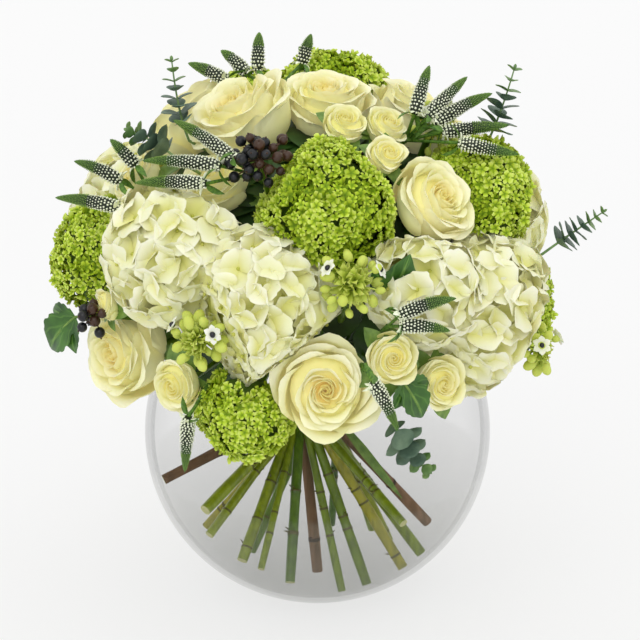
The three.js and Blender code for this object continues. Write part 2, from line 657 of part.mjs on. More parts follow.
// Spikes on one branched stalk, and the room that the heads leave for them
const SPRAY_STALK_RADIUS = 2;
const SPRAY_FORK = 0.55; // share of the way from the stalk's start to the first spike
const STALK_SIDES = 4;
const SPIKE_ROOM = [2.2, 7.2, 9, 0]; // radii at the fork, at the spike's foot, in its middle and past its tip
function speedwellSpray(rows) {
  const first = at(...rows[0][0]);
  const foot = innerFoot(first, rows[0][0][0]);
  const fork = foot.clone().lerp(first, SPRAY_FORK);
  const axis = fork.clone().sub(foot).normalize();
  const stalk = [foot, fork.clone().addScaledVector(axis, 1)];
  const parts = [pipe(stalk, SPRAY_STALK_RADIUS, STALK_SIDES)];
  const room = [pipe(stalk, SPRAY_STALK_RADIUS + WOODY_CLEAR, STALK_SIDES)];
  rows.forEach(([from, to], i) => {
    const start = at(...from);
    const tip = at(...to);
    parts.push(spike(fork, start, tip, 3 - i));
    const pastTip = tip.clone().add(tip.clone().sub(start).setLength(3));
    const middle = start.clone().lerp(tip, 0.45).add(new THREE.Vector3(0, 0, 1.5));
    const rings = ringsAlong([fork, start, middle, pastTip], (k) => SPIKE_ROOM[k], 4);
    room.push(solidOf(loft(rings.slice(0, -1), pastTip)));
  });
  return { foot, axis, solid: fuse(parts), room };
}

// A gum sprig: pairs of round leaves, each pair turned a quarter from the last and smaller towards the tip
const GUM_PAIRS = 4;
const GUM_FIRST_PAIR = 0.34; // share of the way along the bent stalk
const GUM_STALK_RADIUS = 1.1;
const LEAF_THICKNESS = 0.9;
const GUM_OUTLINE = [[0.5, 0.46], [1.06, 0], [0.5, -0.46]]; // as shares of a leaf's length
function gumPair(length) {
  const right = GUM_OUTLINE.map(([x, y]) => new THREE.Vector2(x * length, y * length));
  const left = right.map((p) => p.clone().negate());
  const waist = length * 0.12;
  const outline = [new THREE.Vector2(0, waist), ...right, new THREE.Vector2(0, -waist), ...left];
  const shape = new THREE.Shape(outline);
  return new THREE.ExtrudeGeometry(shape, { depth: LEAF_THICKNESS, bevelEnabled: false, steps: 1 });
}
function gumSprig([from, bend, to, length]) {
  const leafFoot = at(...from);
  const tip = at(...to);
  const foot = innerFoot(leafFoot, from[0]);
  const curve = new THREE.QuadraticBezierCurve3(leafFoot, at(...bend), tip);
  const axis = leafFoot.clone().sub(foot).normalize();
  const parts = [pipe([foot, leafFoot, ...curve.getPoints(2).slice(1)], GUM_STALK_RADIUS, STEM_SIDES)];
  const room = [pipe([foot, leafFoot, curve.getPoint(0.4)], GUM_STALK_RADIUS + ROOM_CLEAR, 4)];
  for (let i = 0; i < GUM_PAIRS; i++) {
    const share = i / (GUM_PAIRS - 1);
    const t = THREE.MathUtils.lerp(GUM_FIRST_PAIR, 0.98, share);
    const blade = gumPair(length * (1 - 0.5 * share ** 1.5));
    blade.rotateZ((i * Math.PI) / 2 + 0.3);
    blade.applyQuaternion(new THREE.Quaternion().setFromUnitVectors(UP, curve.getTangent(t)));
    blade.translate(...curve.getPoint(t).toArray());
    parts.push(solidOf(blade));
  }
  return { foot, axis, solid: fuse(parts), room };
}

// A broad leaf with a cut edge, arched along its rib: along the leaf and out from the rib, as shares of the
// length and the width
const LEAF_EDGE = [
  [0, 0.06],
  [0.14, 0.34],
  [0.2, 0.3],
  [0.36, 0.5],
  [0.42, 0.44],
  [0.58, 0.48],
  [0.64, 0.4],
  [0.8, 0.28],
  [0.85, 0.2],
  [1, 0],
];
const LEAF_ARCH = 0.12;
const LEAF_FOLD = 0.25;
const LEAF_STALK_RADIUS = 1.2;
const LEAF_HOLD = 0.12; // how far up the rib the stalk runs, as a share of the length
const LEAF_LIFT = 20; // elevation of the way the blade faces
function broadLeaf([from, to, width, faceAzimuth]) {
  const base = at(...from);
  const tip = at(...to);
  const foot = innerFoot(base, from[0]);
  const axis = base.clone().sub(foot).normalize();
  const length = base.distanceTo(tip);
  const ribRise = (share) => 4 * LEAF_ARCH * length * share * (1 - share);
  const edge = LEAF_EDGE.map(([x, y]) => new THREE.Vector2(x * length, y * width));
  const mirrored = edge.slice(0, -1).reverse().map((p) => new THREE.Vector2(p.x, -p.y));
  const shape = new THREE.Shape([...edge, ...mirrored]);
  const blade = new THREE.ExtrudeGeometry(shape, { depth: LEAF_THICKNESS, bevelEnabled: false, steps: 1 });
  const position = blade.getAttribute("position");
  for (let i = 0; i < position.count; i++) {
    const fold = LEAF_FOLD * Math.abs(position.getY(i));
    position.setZ(i, position.getZ(i) + fold + ribRise(position.getX(i) / length));
  }
  const along = tip.clone().sub(base).normalize();
  const side = facing(faceAzimuth, LEAF_LIFT).cross(along).normalize();
  const normal = along.clone().cross(side);
  const place = new THREE.Matrix4().makeBasis(along, side, normal).setPosition(base);
  const stalkTip = base.clone().lerp(tip, LEAF_HOLD).addScaledVector(normal, ribRise(LEAF_HOLD));
  const stalk = [foot, base.clone().lerp(foot, 0.3), stalkTip];
  const solid = fuse([pipe(stalk, LEAF_STALK_RADIUS, 4), solidOf(blade.applyMatrix4(place))]);
  const height = LEAF_ARCH * length + LEAF_FOLD * width * 0.5 + LEAF_THICKNESS;
  const pocket = new THREE.BoxGeometry(length + 1, width + 1, height + 1);
  pocket.translate(length / 2, 0, height / 2).applyMatrix4(place);
  const room = [pipe(stalk, LEAF_STALK_RADIUS + ROOM_CLEAR, 4), solidOf(pocket)];
  return { foot, axis, solid, room };
}

// Sprays first, then heads with room for them, then the stems that carry both
function makeAll(rows, kind, make) {
  return Object.entries(rows).map(([name, row]) => ({ name, kind, ...make(row) }));
}
const sprays = [
  ...makeAll(SPEEDWELL, "speedwell", speedwellSpray),
  ...makeAll(GUM, "gum", gumSprig),
  ...makeAll(LEAVES, "leaf", broadLeaf),
];

// The fork of each spray of small roses, and the stalks from it
const roseSprays = Object.entries(ROSE_SPRAYS).map(([name, members]) => {
  const roses = members.map((member) => heads.find((h) => h.name === member));
  const axis = roses.reduce((sum, r) => sum.add(r.axis), new THREE.Vector3()).normalize();
  const foot = middleOf(roses.map((r) => r.seat.clone())).addScaledVector(axis, -FORK_DEPTH);
  const onAxis = (rose, rise) => rose.seat.clone().addScaledVector(rose.axis, rise);
  const stalk = (rose, radius) => pipe([foot, onAxis(rose, -4), onAxis(rose, 3)], radius, STEM_SIDES);
  const room = roses.map((rose) => stalk(rose, PEDICEL_RADIUS + PRESS_GAP));
  return { name, roses, axis, foot, room, stalks: roses.map((rose) => stalk(rose, PEDICEL_RADIUS)) };
});
const onSpray = (head) => roseSprays.some((s) => s.roses.includes(head));

const woody = Object.entries(WOODY_STEMS).map(([name, row]) => ({ name, head: row.head, ...woodyStem(row) }));
const seats = [
  ...heads
    .filter((h) => !onSpray(h) && !woody.some((w) => w.head === h.name))
    .map((h) => ({ seat: h.seat, axis: h.axis, radius: STEM[h.kind] })),
  ...[...sprays, ...roseSprays].map((s) => ({ seat: s.foot, axis: s.axis, radius: STEM.sprig })),
];
const sprayRooms = [...sprays, ...roseSprays].flatMap((s) => s.room);
const woodyHoles = woody.map((w) => w.hole);
const stems = greenStems(seats, [...woodyHoles, ...sprayRooms]);

const stemHoles = seats.map(({ seat, axis, radius }) =>
  mitredPipe(stemRoute(seat, axis), radius + HOLE_CLEAR, STEM_SIDES, axis),
);
for (const head of heads) {
  const ownSpray = roseSprays.find((s) => s.roses.includes(head));
  const rooms = [...sprayRooms, ...woodyHoles, ...stemHoles].filter((room) => !ownSpray?.room.includes(room));
  head.solid = largestBody(cut(pressed(head), rooms));
}

// The finished scene
const centrepiece = new THREE.Group();
function addPiece(name, solid, material, place = new THREE.Matrix4()) {
  const geometry = geometryOf(solid).applyMatrix4(place.clone().invert());
  const mesh = new THREE.Mesh(geometry, new THREE.MeshStandardMaterial(MATERIALS[material]));
  mesh.name = name;
  mesh.applyMatrix4(place);
  centrepiece.add(mesh);
}
addPiece("glass_bowl", bowl(), "glass");
addPiece("binding_twine", twine(), "twine");
addPiece("green_stems", stems, "green_stem");
for (const { name, stem } of woody) addPiece(name, stem, "woody_stem");
for (const head of heads) {
  if (!onSpray(head)) addPiece(head.name, head.solid, KIND_MATERIAL[head.kind] ?? head.kind, head.place);
}
for (const { name, roses, stalks } of roseSprays) {
  addPiece(name, fuse([...roses.map((rose) => rose.solid), ...stalks]), "rose");
}
for (const { name, kind, solid } of sprays) addPiece(name, largestBody(solid), kind);

export default centrepiece;
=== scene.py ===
# The looks of a table centrepiece: a hand-tied dome of roses, hydrangea and guelder rose balls in a fishbowl.
# Tables are in millimetres, as on the drawing, and every object is in metres. The front faces -Y.
import math

import bpy
import numpy as np
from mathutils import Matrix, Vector


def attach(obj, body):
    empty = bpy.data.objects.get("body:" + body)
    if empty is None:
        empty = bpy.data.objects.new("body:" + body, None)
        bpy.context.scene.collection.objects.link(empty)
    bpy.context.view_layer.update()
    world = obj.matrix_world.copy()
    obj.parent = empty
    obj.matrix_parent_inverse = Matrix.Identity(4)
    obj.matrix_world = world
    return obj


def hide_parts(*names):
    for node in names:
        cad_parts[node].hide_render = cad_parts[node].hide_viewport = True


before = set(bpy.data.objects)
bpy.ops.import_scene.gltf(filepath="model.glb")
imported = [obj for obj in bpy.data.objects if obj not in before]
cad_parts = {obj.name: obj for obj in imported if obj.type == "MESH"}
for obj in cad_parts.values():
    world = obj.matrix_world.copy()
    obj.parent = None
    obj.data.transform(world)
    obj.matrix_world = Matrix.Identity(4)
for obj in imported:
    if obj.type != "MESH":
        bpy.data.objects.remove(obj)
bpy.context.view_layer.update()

MM = 0.001
GOLDEN_ANGLE = math.pi * (3 - math.sqrt(5))

# The bowl
BOWL_RADIUS = 125
BOWL_HEIGHT = 200
BOWL_FOOT_RADIUS = 45
BOWL_WALL = 3.5
BOWL_FLOOR = 9
BOWL_CENTRE = math.sqrt(BOWL_RADIUS**2 - BOWL_FOOT_RADIUS**2)

# The bunch
TIE_HEIGHT = 139
BUNCH_RADIUS = 20
TWINE_THICKNESS = 3
RIM_CLEAR_OUT = 78
RIM_CLEAR_HEIGHT = BOWL_HEIGHT + 10
LEAN_HEIGHT = BOWL_HEIGHT + 45
HOLD_RISE = 6
FOOT_TWIST = 75
GAP = 0.35
PRESS_GAP = 0.5

# Radii of stalks
ROSE_STALK = 1.4
SPRAY_STALK = 2
SPIKE_STALK = 1.2
BUD_STALK = 0.6
BERRY_STALK = 0.55

# Where the stalk of a spray starts, well inside the dome. A low one comes out over the rim.
SPRAY_REACH = 52
SPRAY_CORE = 18
SPRAY_DROP = 34
LOW_SPRAY_HEIGHT = BOWL_HEIGHT + 40
LOW_SPRAY_START = BOWL_HEIGHT + 14

STEM = {"rose": 3, "hydrangea": 3.6, "guelder": 3.4, "spray_rose": 2.2, "star": 3, "berries": 2, "sprig": 1.8}

# The heads of each kind: azimuth (0 is the front, 90 the right), distance out, height, radius, elevation of
# the face, and azimuth of the face where it isn't the head's own
HEADS = {
    "rose": {
        "front": (2, 150, 205, 38, 12),
        "right": (38, 124, 317, 34, 38, 48),
        "left": (-61, 150, 203, 38, 6, -50),
        "top": (-64, 59, 355, 44, 58),
        "crown": (24, 12, 362, 36, 76, 0),
        "rear_right": (99, 70, 344, 43, 58),
        "rear_left": (-110, 94, 336, 44, 45),
        "back_right": (143, 150, 212, 44, 10),
        "back_left": (-145, 150, 214, 44, 10),
        "back_top": (148, 118, 312, 41, 42),
    },
    "hydrangea": {
        "left": (-44, 134, 284, 54, 30),
        "front": (-16, 136, 254, 56, 20),
        "middle": (29, 144, 268, 42, 25),
        "right": (52, 136, 237, 60, 8),
        "rear_right": (108, 117, 270, 58, 22),
        "rear_left": (-108, 130, 264, 60, 20),
        "back": (180, 134, 238, 60, 12),
    },
    "guelder": {
        "centre": (4, 103, 314, 49, 50),
        "left": (-78, 148, 256, 44, 15),
        "right": (66, 118, 308, 44, 38),
        "low": (-19, 146, 183, 34, -20),
        "top": (168, 50, 347, 44, 75),
        "side": (88, 132, 216, 41, 5),
        "back": (-156, 106, 314, 50, 50),
    },
    "spray_rose": {
        "front": (17, 165, 229, 20, 15),
        "low": (31, 157, 203, 21, 8),
        "top_a": (16, 66, 362, 17, 55),
        "top_b": (40, 72, 358, 17, 55),
        "top_c": (28, 99, 346, 16, 48),
        "left": (-70, 130, 318, 22, 38),
        "low_left": (-36, 158, 199, 20, 2),
        "bud": (-58, 170, 241, 14, 15),
        "upper": (-46, 94, 321, 29, 50),
        "back_a": (178, 104, 318, 34, 48),
        "back_b": (172, 146, 294, 24, 30),
    },
    "star": {
        "front": (8, 160, 280, 25, 25),
        "low": (-27, 172, 240, 22, 12),
        "side": (61, 172, 209, 19, 0),
        "top": (72, 86, 350, 24, 50),
    },
    "berries": {
        "top": (-20, 110, 348, 26, 55),
        "side": (-59, 176, 236, 15, 10),
    },
}
ROSE_SPRAYS = {
    "spray_roses_top": ("spray_rose_top_a", "spray_rose_top_b", "spray_rose_top_c"),
    "spray_roses_front": ("spray_rose_front", "spray_rose_low"),
    "spray_roses_back": ("spray_rose_back_a", "spray_rose_back_b"),
}
FORK_DEPTH = 16

# Spikes of speedwell: each spike's foot and tip, as azimuth, distance out and height
SPEEDWELL = {
    "speedwell_left": (
        ((-28, 116, 348), (-52, 122, 368)),
        ((-31, 124, 345), (-51, 149, 345)),
        ((-32, 138, 336), (-50, 158, 332)),
    ),
    "speedwell_far_left": (
        ((-62, 150, 324), (-67, 178, 338)),
        ((-57, 158, 310), (-67, 192, 314)),
        ((-61, 140, 334), (-65, 154, 352)),
    ),
    "speedwell_top": (
        ((-108, 44, 380), (-122, 48, 405)),
        ((-114, 54, 376), (-119, 78, 389)),
        ((-106, 66, 372), (-110, 97, 381)),
        ((-150, 22, 384), (-170, 25, 404)),
    ),
    "speedwell_right": (
        ((56, 96, 360), (74, 124, 376)),
        ((48, 88, 368), (62, 86, 397)),
        ((53, 92, 364), (75, 106, 386)),
        ((54, 104, 356), (66, 142, 360)),
        ((52, 120, 352), (60, 156, 345)),
    ),
    "speedwell_middle": (
        ((17, 182, 264), (27, 197, 276)),
        ((17, 183, 257), (26, 196, 254)),
    ),
    "speedwell_back": (
        ((180, 98, 350), (-174, 132, 370)),
        ((176, 108, 344), (170, 146, 350)),
        ((-178, 116, 338), (-178, 158, 332)),
    ),
    "speedwell_low_right": (((11, 188, 222), (16, 191, 188)),),
    "speedwell_low_left": (((-29, 176, 186), (-32, 168, 142)),),
}

# Gum sprigs: foot, bend and tip, then the largest leaf's length
GUM = {
    "gum_top_left": ((-66, 96, 344), (-66, 104, 364), (-72, 104, 398), 15),
    "gum_left": ((-50, 118, 338), (-56, 128, 352), (-66, 140, 356), 17),
    "gum_top_right": ((78, 118, 336), (80, 126, 350), (84, 136, 388), 17),
    "gum_right": ((66, 168, 272), (68, 182, 284), (72, 204, 300), 15),
    "gum_back": ((152, 150, 286), (156, 168, 300), (160, 184, 324), 16),
    "gum_low_right": ((16, 172, 194), (18, 172, 172), (28, 160, 142), 17),
}

# Broad leaves: foot, tip, width and the azimuth that the blade faces
LEAVES = {
    "leaf_side": ((-70, 178, 224), (-76, 192, 196), 28, -30),
    "leaf_middle": ((19, 150, 268), (21, 168, 300), 24, 8),
    "leaf_low": ((20, 165, 211), (25, 165, 184), 22, 21),
}
LEAF_LIFT = 20

# Feet of the stems on the glass: azimuth, distance out and stem radius
GREEN_FEET = (
    (-44, 113, 4.6),
    (-46, 106, 3.6),
    (-100, 84, 3.4),
    (-34, 95, 4.2),
    (-25, 94, 2.8),
    (-110, 52, 3.6),
    (-14, 80, 4),
    (170, 62, 3),
    (18, 57, 3.2),
    (35, 62, 4),
    (140, 64, 3.4),
    (54, 76, 4.2),
    (70, 80, 4.2),
    (32, 113, 3.6),
    (-150, 82, 3.6),
    (165, 95, 4),
    (120, 62, 3.2),
)
WOODY_STEMS = {
    "woody_stem_left": ((-79, 113, 4.2), "guelder_right"),
    "woody_stem_middle": ((0, 20, 4.2), "guelder_back"),
    "woody_stem_right": ((104, 84, 4.2), "guelder_left"),
}


# Points and directions
def at(azimuth, out, height):
    turn = math.radians(azimuth)
    return MM * np.array([out * math.sin(turn), -out * math.cos(turn), height])


def facing(azimuth, elevation):
    lift = math.radians(elevation)
    return at(azimuth, math.cos(lift), math.sin(lift)) / MM


def azimuth_of(point):
    return math.degrees(math.atan2(point[0], -point[1]))


def unit(vectors):
    return vectors / np.maximum(np.linalg.norm(vectors, axis=-1, keepdims=True), 1e-12)


def lerp(a, b, share):
    return a + (b - a) * share


def turned_to(axes, rolls=0.0):
    """Frames whose third column is each axis, turned round it by each roll."""
    axes = np.atleast_2d(axes)
    rolls = np.broadcast_to(rolls, len(axes))
    helper = np.where(np.abs(axes[:, 2:]) > 0.9, [[1.0, 0.0, 0.0]], [[0.0, 0.0, 1.0]])
    across = unit(np.cross(helper, axes))
    other = np.cross(axes, across)
    cos = np.cos(rolls)[:, None]
    sin = np.sin(rolls)[:, None]
    return np.stack([across * cos + other * sin, other * cos - across * sin, axes], axis=2)


def aside_of(turned, angle):
    """A direction at right angles to a frame's axis."""
    return turned[:, 0] * math.cos(angle) + turned[:, 1] * math.sin(angle)


def bezier(a, b, c, count):
    s = np.linspace(0, 1, count)[:, None]
    return a * (1 - s) ** 2 + b * 2 * s * (1 - s) + c * s**2


def angles_round(count):
    return np.arange(count) * 2 * math.pi / count


# Closed shells, gathered into one object. The tone at a point holds how far along a petal or stem it is, a
# number drawn for each of them, and how far out in its head it is or how bare of scars.
# On hydrangea and guelder florets the first number is also lowered deep in the ball, which paints shade
# there.
PLAIN = (0.5, 0.5, 0.5)


class Shells:
    """Points, triangles, a tone at each point, the points on thin edges, and a material slot a triangle."""

    def __init__(self):
        self.points = []
        self.faces = []
        self.tones = []
        self.rims = []
        self.slots = []
        self.count = 0

    def add(self, points, faces, tones=PLAIN, slot=0, rims=None):
        self.points.append(points)
        self.faces.append(faces + self.count)
        self.tones.append(np.broadcast_to(tones, (len(points), 3)))
        self.rims.append(np.zeros(len(points), bool) if rims is None else rims)
        self.slots.append(np.full(len(faces), slot))
        self.count += len(points)

    def add_copies(self, points, faces, tones=PLAIN, slot=0, rims=None):
        """points and tones hold one row of copies after another, all with the same triangles."""
        copies, size = points.shape[:2]
        every = faces[None] + (np.arange(copies) * size)[:, None, None]
        flat_tones = np.broadcast_to(tones, (copies, size, 3)).reshape(-1, 3)
        flat_rims = None if rims is None else np.tile(rims, copies)
        self.add(points.reshape(-1, 3), every.reshape(-1, 3), flat_tones, slot, flat_rims)


def quads(first, second):
    """Two triangles between each pair of neighbours in two rows of point numbers."""
    a, b = first[:-1], first[1:]
    d, c = second[:-1], second[1:]
    return np.concatenate([np.stack([a, b, c], 1), np.stack([a, c, d], 1)])


def lens_faces(rows, columns):
    """Triangles, inner mask and rim flags of a thin shell over a grid, closed along the grid's edge."""
    front = np.arange(rows * columns).reshape(rows, columns)
    inner = np.zeros((rows, columns), bool)
    inner[1:-1, 1:-1] = True
    back = front.copy()
    back[inner] = rows * columns + np.arange(inner.sum())
    top = np.concatenate([quads(front[i], front[i + 1]) for i in range(rows - 1)])
    under = np.concatenate([quads(back[i + 1], back[i]) for i in range(rows - 1)])
    rims = np.concatenate([~inner.ravel(), np.zeros(inner.sum(), bool)])
    return np.concatenate([top, under]), inner, rims


def lens(shells, grids, thickness, tones=PLAIN, slot=0, press=None):
    """Thin closed shells over grids of points, shaped (copies, rows, columns, 3)."""
    faces, inner, rims = lens_faces(*grids.shape[1:3])
    normals = unit(np.cross(np.gradient(grids, axis=2), np.gradient(grids, axis=1)))
    raised = normals * np.where(inner, thickness / 2, 0)[None, :, :, None]
    front = (grids + raised).reshape(len(grids), -1, 3)
    points = np.concatenate([front, (grids - raised)[:, inner]], axis=1)
    if press is not None:
        points = press(points)
    grid_tones = np.broadcast_to(tones, grids.shape)
    tones = np.concatenate([grid_tones.reshape(len(grids), -1, 3), grid_tones[:, inner]], axis=1)
    shells.add_copies(points, faces, tones, slot, rims)


def tube_rings(path, radii, sides):
    """Rings of points round a path, without twist."""
    tangents = unit(np.gradient(path, axis=0))
    across = unit(np.cross(tangents[0], [0.31, 0.22, 0.93]))
    turns = angles_round(sides)[:, None]
    rings = []
    for point, tangent, radius in zip(path, tangents, radii):
        across = unit(across - tangent * (across @ tangent))
        circle = np.cos(turns) * across + np.sin(turns) * np.cross(tangent, across)
        rings.append(point + radius * circle)
    return np.array(rings)


def ring_faces(count, sides):
    """Triangles between rings, and fans over both ends to two more points."""
    first = np.append(np.arange(sides), 0)
    faces = [quads(first + k * sides, first + (k + 1) * sides) for k in range(count - 1)]
    last = first + (count - 1) * sides
    start = np.full(sides, count * sides)
    faces.append(np.stack([start, first[1:], first[:-1]], 1))
    faces.append(np.stack([start + 1, last[:-1], last[1:]], 1))
    return np.concatenate(faces)


def tube(shells, path, radii, sides, slot=0, tone=PLAIN, cut_slot=None):
    """A closed tube, with its far end in a slot of its own where one is given."""
    count = len(path)
    rings = tube_rings(path, np.broadcast_to(radii, count), sides)
    points = np.concatenate([rings.reshape(-1, 3), path[:1], path[-1:]])
    ring_tones = np.broadcast_to(tone, (count, 3))
    tones = np.concatenate([np.repeat(ring_tones, sides, axis=0), ring_tones[:1], ring_tones[-1:]])
    tones[: count * sides, 0] = np.repeat(np.linspace(0, 1, count), sides)
    rims = np.zeros(len(points), bool)
    rims[:sides] = True
    rims[(count - 1) * sides : count * sides] = True
    shells.add(points, ring_faces(count, sides), tones, slot, rims)
    if cut_slot is not None:
        shells.slots[-1][-sides:] = cut_slot


def turned_body(out, heights, ends, sides):
    """Points and triangles of level rings round the Z axis, closed by a point on it at each end."""
    out, heights = np.asarray(out)[:, None], np.asarray(heights)[:, None]
    turns = angles_round(sides)
    rings = np.stack([out * np.cos(turns), out * np.sin(turns), heights + 0 * turns], axis=2)
    return np.concatenate([rings.reshape(-1, 3), [[0, 0, end] for end in ends]]), ring_faces(len(out), sides)


def globe(rows, columns):
    """A unit ball of latitude rings."""
    polar = np.linspace(math.pi, 0, rows + 2)[1:-1]
    return turned_body(np.sin(polar), np.cos(polar), (-1, 1), columns)


def turned_shell(shells, profile, sides, tone=PLAIN):
    """A closed body turned round the bowl's axis, from a profile that starts and ends on it."""
    out, heights = np.array(profile).T * MM
    shells.add(*turned_body(out[1:-1], heights[1:-1], heights[[0, -1]], sides), tone)


# Heads in their places, and the planes where neighbours press on each other
SEAT_DEPTH = {
    "rose": 0.6,
    "spray_rose": 0.62,
    "hydrangea": 0.51,
    "guelder": 0.55,
    "star": 0.32,
    "berries": 0.16,
}
FIRM = {"rose": 0.86, "spray_rose": 0.92, "star": 0.8, "berries": 0.8}
PRESS_BAND = 7 * MM
FIRM_PAST = 1.5 * MM
SOFT_PAST = 7 * MM
WOBBLE = 2.4 * MM
WOBBLE_WAVES = np.array([[420, 160, -250], [-210, 380, 330], [260, -300, 410]])
SOFT_OVERLAP = 2 * MM
FIRM_OVERLAP = 14 * MM


class Head:
    def __init__(self, name, kind, azimuth, out, height, radius, elevation, face_azimuth=None):
        self.name = name
        self.kind = kind
        self.centre = at(azimuth, out, height)
        self.axis = facing(azimuth if face_azimuth is None else face_azimuth, elevation)
        self.radius = radius * MM
        self.frame = turned_to(self.axis)[0]
        self.seat = self.centre - self.axis * self.radius * SEAT_DEPTH[kind]
        self.rng = np.random.default_rng([7, *name.encode()])

    def place(self, local):
        """Points given in the head's own frame, as shares of its radius."""
        return self.centre + local * self.radius @ self.frame.T


def all_heads():
    rows = [(f"{kind}_{name}", kind, row) for kind, group in HEADS.items() for name, row in group.items()]
    return {name: Head(name, kind, *row) for name, kind, row in rows}


heads = all_heads()
on_sprays = {member for members in ROSE_SPRAYS.values() for member in members}


def pressed_reach(one, other, distance):
    plane = (distance**2 + one.radius**2 - other.radius**2) / (2 * distance)
    if one.kind in FIRM and other.kind not in FIRM:
        return max(plane, one.radius * FIRM[one.kind])
    if other.kind in FIRM and one.kind not in FIRM:
        return min(plane, distance - other.radius * FIRM[other.kind])
    return plane


def planes_round(one):
    """The direction and reach of each plane where a neighbour presses, and whether both heads are soft."""
    planes = []
    for other in heads.values():
        between = other.centre - one.centre
        distance = np.linalg.norm(between)
        if one is other or distance > one.radius + other.radius + PRESS_GAP * MM:
            continue
        reach = pressed_reach(one, other, distance) - PRESS_GAP * MM / 2
        both_soft = one.kind not in FIRM and other.kind not in FIRM
        planes.append((between / distance, reach, both_soft))
    return planes


def wobble(points):
    """A few millimetres in or out, smooth from point to point."""
    return WOBBLE * np.sin(points @ WOBBLE_WAVES.T).mean(axis=-1)


def press_of(head):
    """A function that squeezes points back, softly, to a little past the planes round a head."""
    planes = planes_round(head)

    def press(points):
        for direction, reach, both_soft in planes:
            limit = reach + (SOFT_PAST if both_soft else FIRM_PAST) + wobble(points)
            over = np.maximum((points - head.centre) @ direction - (limit - PRESS_BAND), 0)
            squeezed = PRESS_BAND * (1 - np.exp(-over / PRESS_BAND))
            points = points - (over - squeezed)[..., None] * direction
        return points

    return press


def settled(head, points):
    """Points drawn back from firm neighbours, and which of them aren't inside a soft one."""
    keep = np.ones(len(points), bool)
    for direction, reach, both_soft in planes_round(head):
        over = (points - head.centre) @ direction - reach
        keep &= over < (SOFT_OVERLAP if both_soft else FIRM_OVERLAP)
        if not both_soft:
            points = points - np.maximum(over, 0)[:, None] * direction
    return points, keep


# Materials, all worked out by nodes. Colours are sRGB numbers up to 255, or shares of light for a mask.
materials = {}
WHITE = (1, 1, 1, 1)
BLACK = (0, 0, 0, 1)


def grey(share):
    return (share, share, share, 1)


def linear(value):
    share = value / 255
    return share / 12.92 if share <= 0.04045 else ((share + 0.055) / 1.055) ** 2.4


def light_of(color):
    """The colour for a socket, which is there already where it has an alpha."""
    return color if len(color) == 4 else (*map(linear, color), 1)


class Paint:
    """A material and short names for the nodes it is made of."""

    def __init__(self, name, roughness):
        self.material = bpy.data.materials.new(name)
        self.material.use_nodes = True
        materials[name] = self.material
        self.tree = self.material.node_tree
        self.shader = self.tree.nodes["Principled BSDF"]
        self.set(Roughness=roughness)
        tone = self.node("Attribute")
        tone.attribute_name = "tone"
        split = self.node("SeparateColor")
        self.link(tone.outputs["Color"], split.inputs[0])
        self.along, self.draw, self.outward = split.outputs[:3]

    def node(self, kind, **values):
        node = self.tree.nodes.new(f"ShaderNode{kind}")
        for name, value in values.items():
            node.inputs[name].default_value = value
        return node

    def link(self, source, target):
        self.tree.links.new(source, target)

    def set(self, **values):
        for name, value in values.items():
            self.shader.inputs[name.replace("_", " ")].default_value = value

    def ramp(self, factor, *stops):
        node = self.node("ValToRGB")
        elements = node.color_ramp.elements
        while len(elements) < len(stops):
            elements.new(0.5)
        for element, (place, color) in zip(elements, stops):
            element.position = place
            element.color = light_of(color)
        self.link(factor, node.inputs[0])
        return node.outputs[0]

    def mix(self, factor, first, second, mode="MIX"):
        node = self.node("Mix")
        node.data_type = "RGBA"
        node.blend_type = mode
        for socket, value in zip((node.inputs[0], node.inputs[6], node.inputs[7]), (factor, first, second)):
            if isinstance(value, bpy.types.NodeSocket):
                self.link(value, socket)
            else:
                socket.default_value = value
        return node.outputs[2]

    def multiplied(self, base, factor, *stops):
        """A colour darkened by a ramp."""
        return self.mix(1.0, base, self.ramp(factor, *stops), "MULTIPLY")

    def noise(self, scale, detail=3.0, stretch=(1, 1, 1)):
        place = self.node("TexCoord")
        mapping = self.node("Mapping", Scale=stretch)
        node = self.node("TexNoise", Scale=scale, Detail=detail)
        self.link(place.outputs["Object"], mapping.inputs[0])
        self.link(mapping.outputs[0], node.inputs["Vector"])
        return node.outputs[0]

    def veins(self, per_length, slant):
        """Slanted bands across a blade, from the tones along it and out from its rib."""
        place = self.node("CombineXYZ")
        mapping = self.node("Mapping", Scale=(per_length, -slant, 0))
        wave = self.node("TexWave", Scale=1, Distortion=0.3)
        wave.bands_direction = "DIAGONAL"
        self.link(self.along, place.inputs[0])
        self.link(self.outward, place.inputs[1])
        self.link(place.outputs[0], mapping.inputs[0])
        self.link(mapping.outputs[0], wave.inputs["Vector"])
        return wave.outputs[1]

    def bump(self, height, strength, distance=0.6 * MM):
        node = self.node("Bump", Strength=strength, Distance=distance)
        self.link(height, node.inputs["Height"])
        self.link(node.outputs[0], self.shader.inputs["Normal"])

    def color(self, source):
        self.link(source, self.shader.inputs["Base Color"])


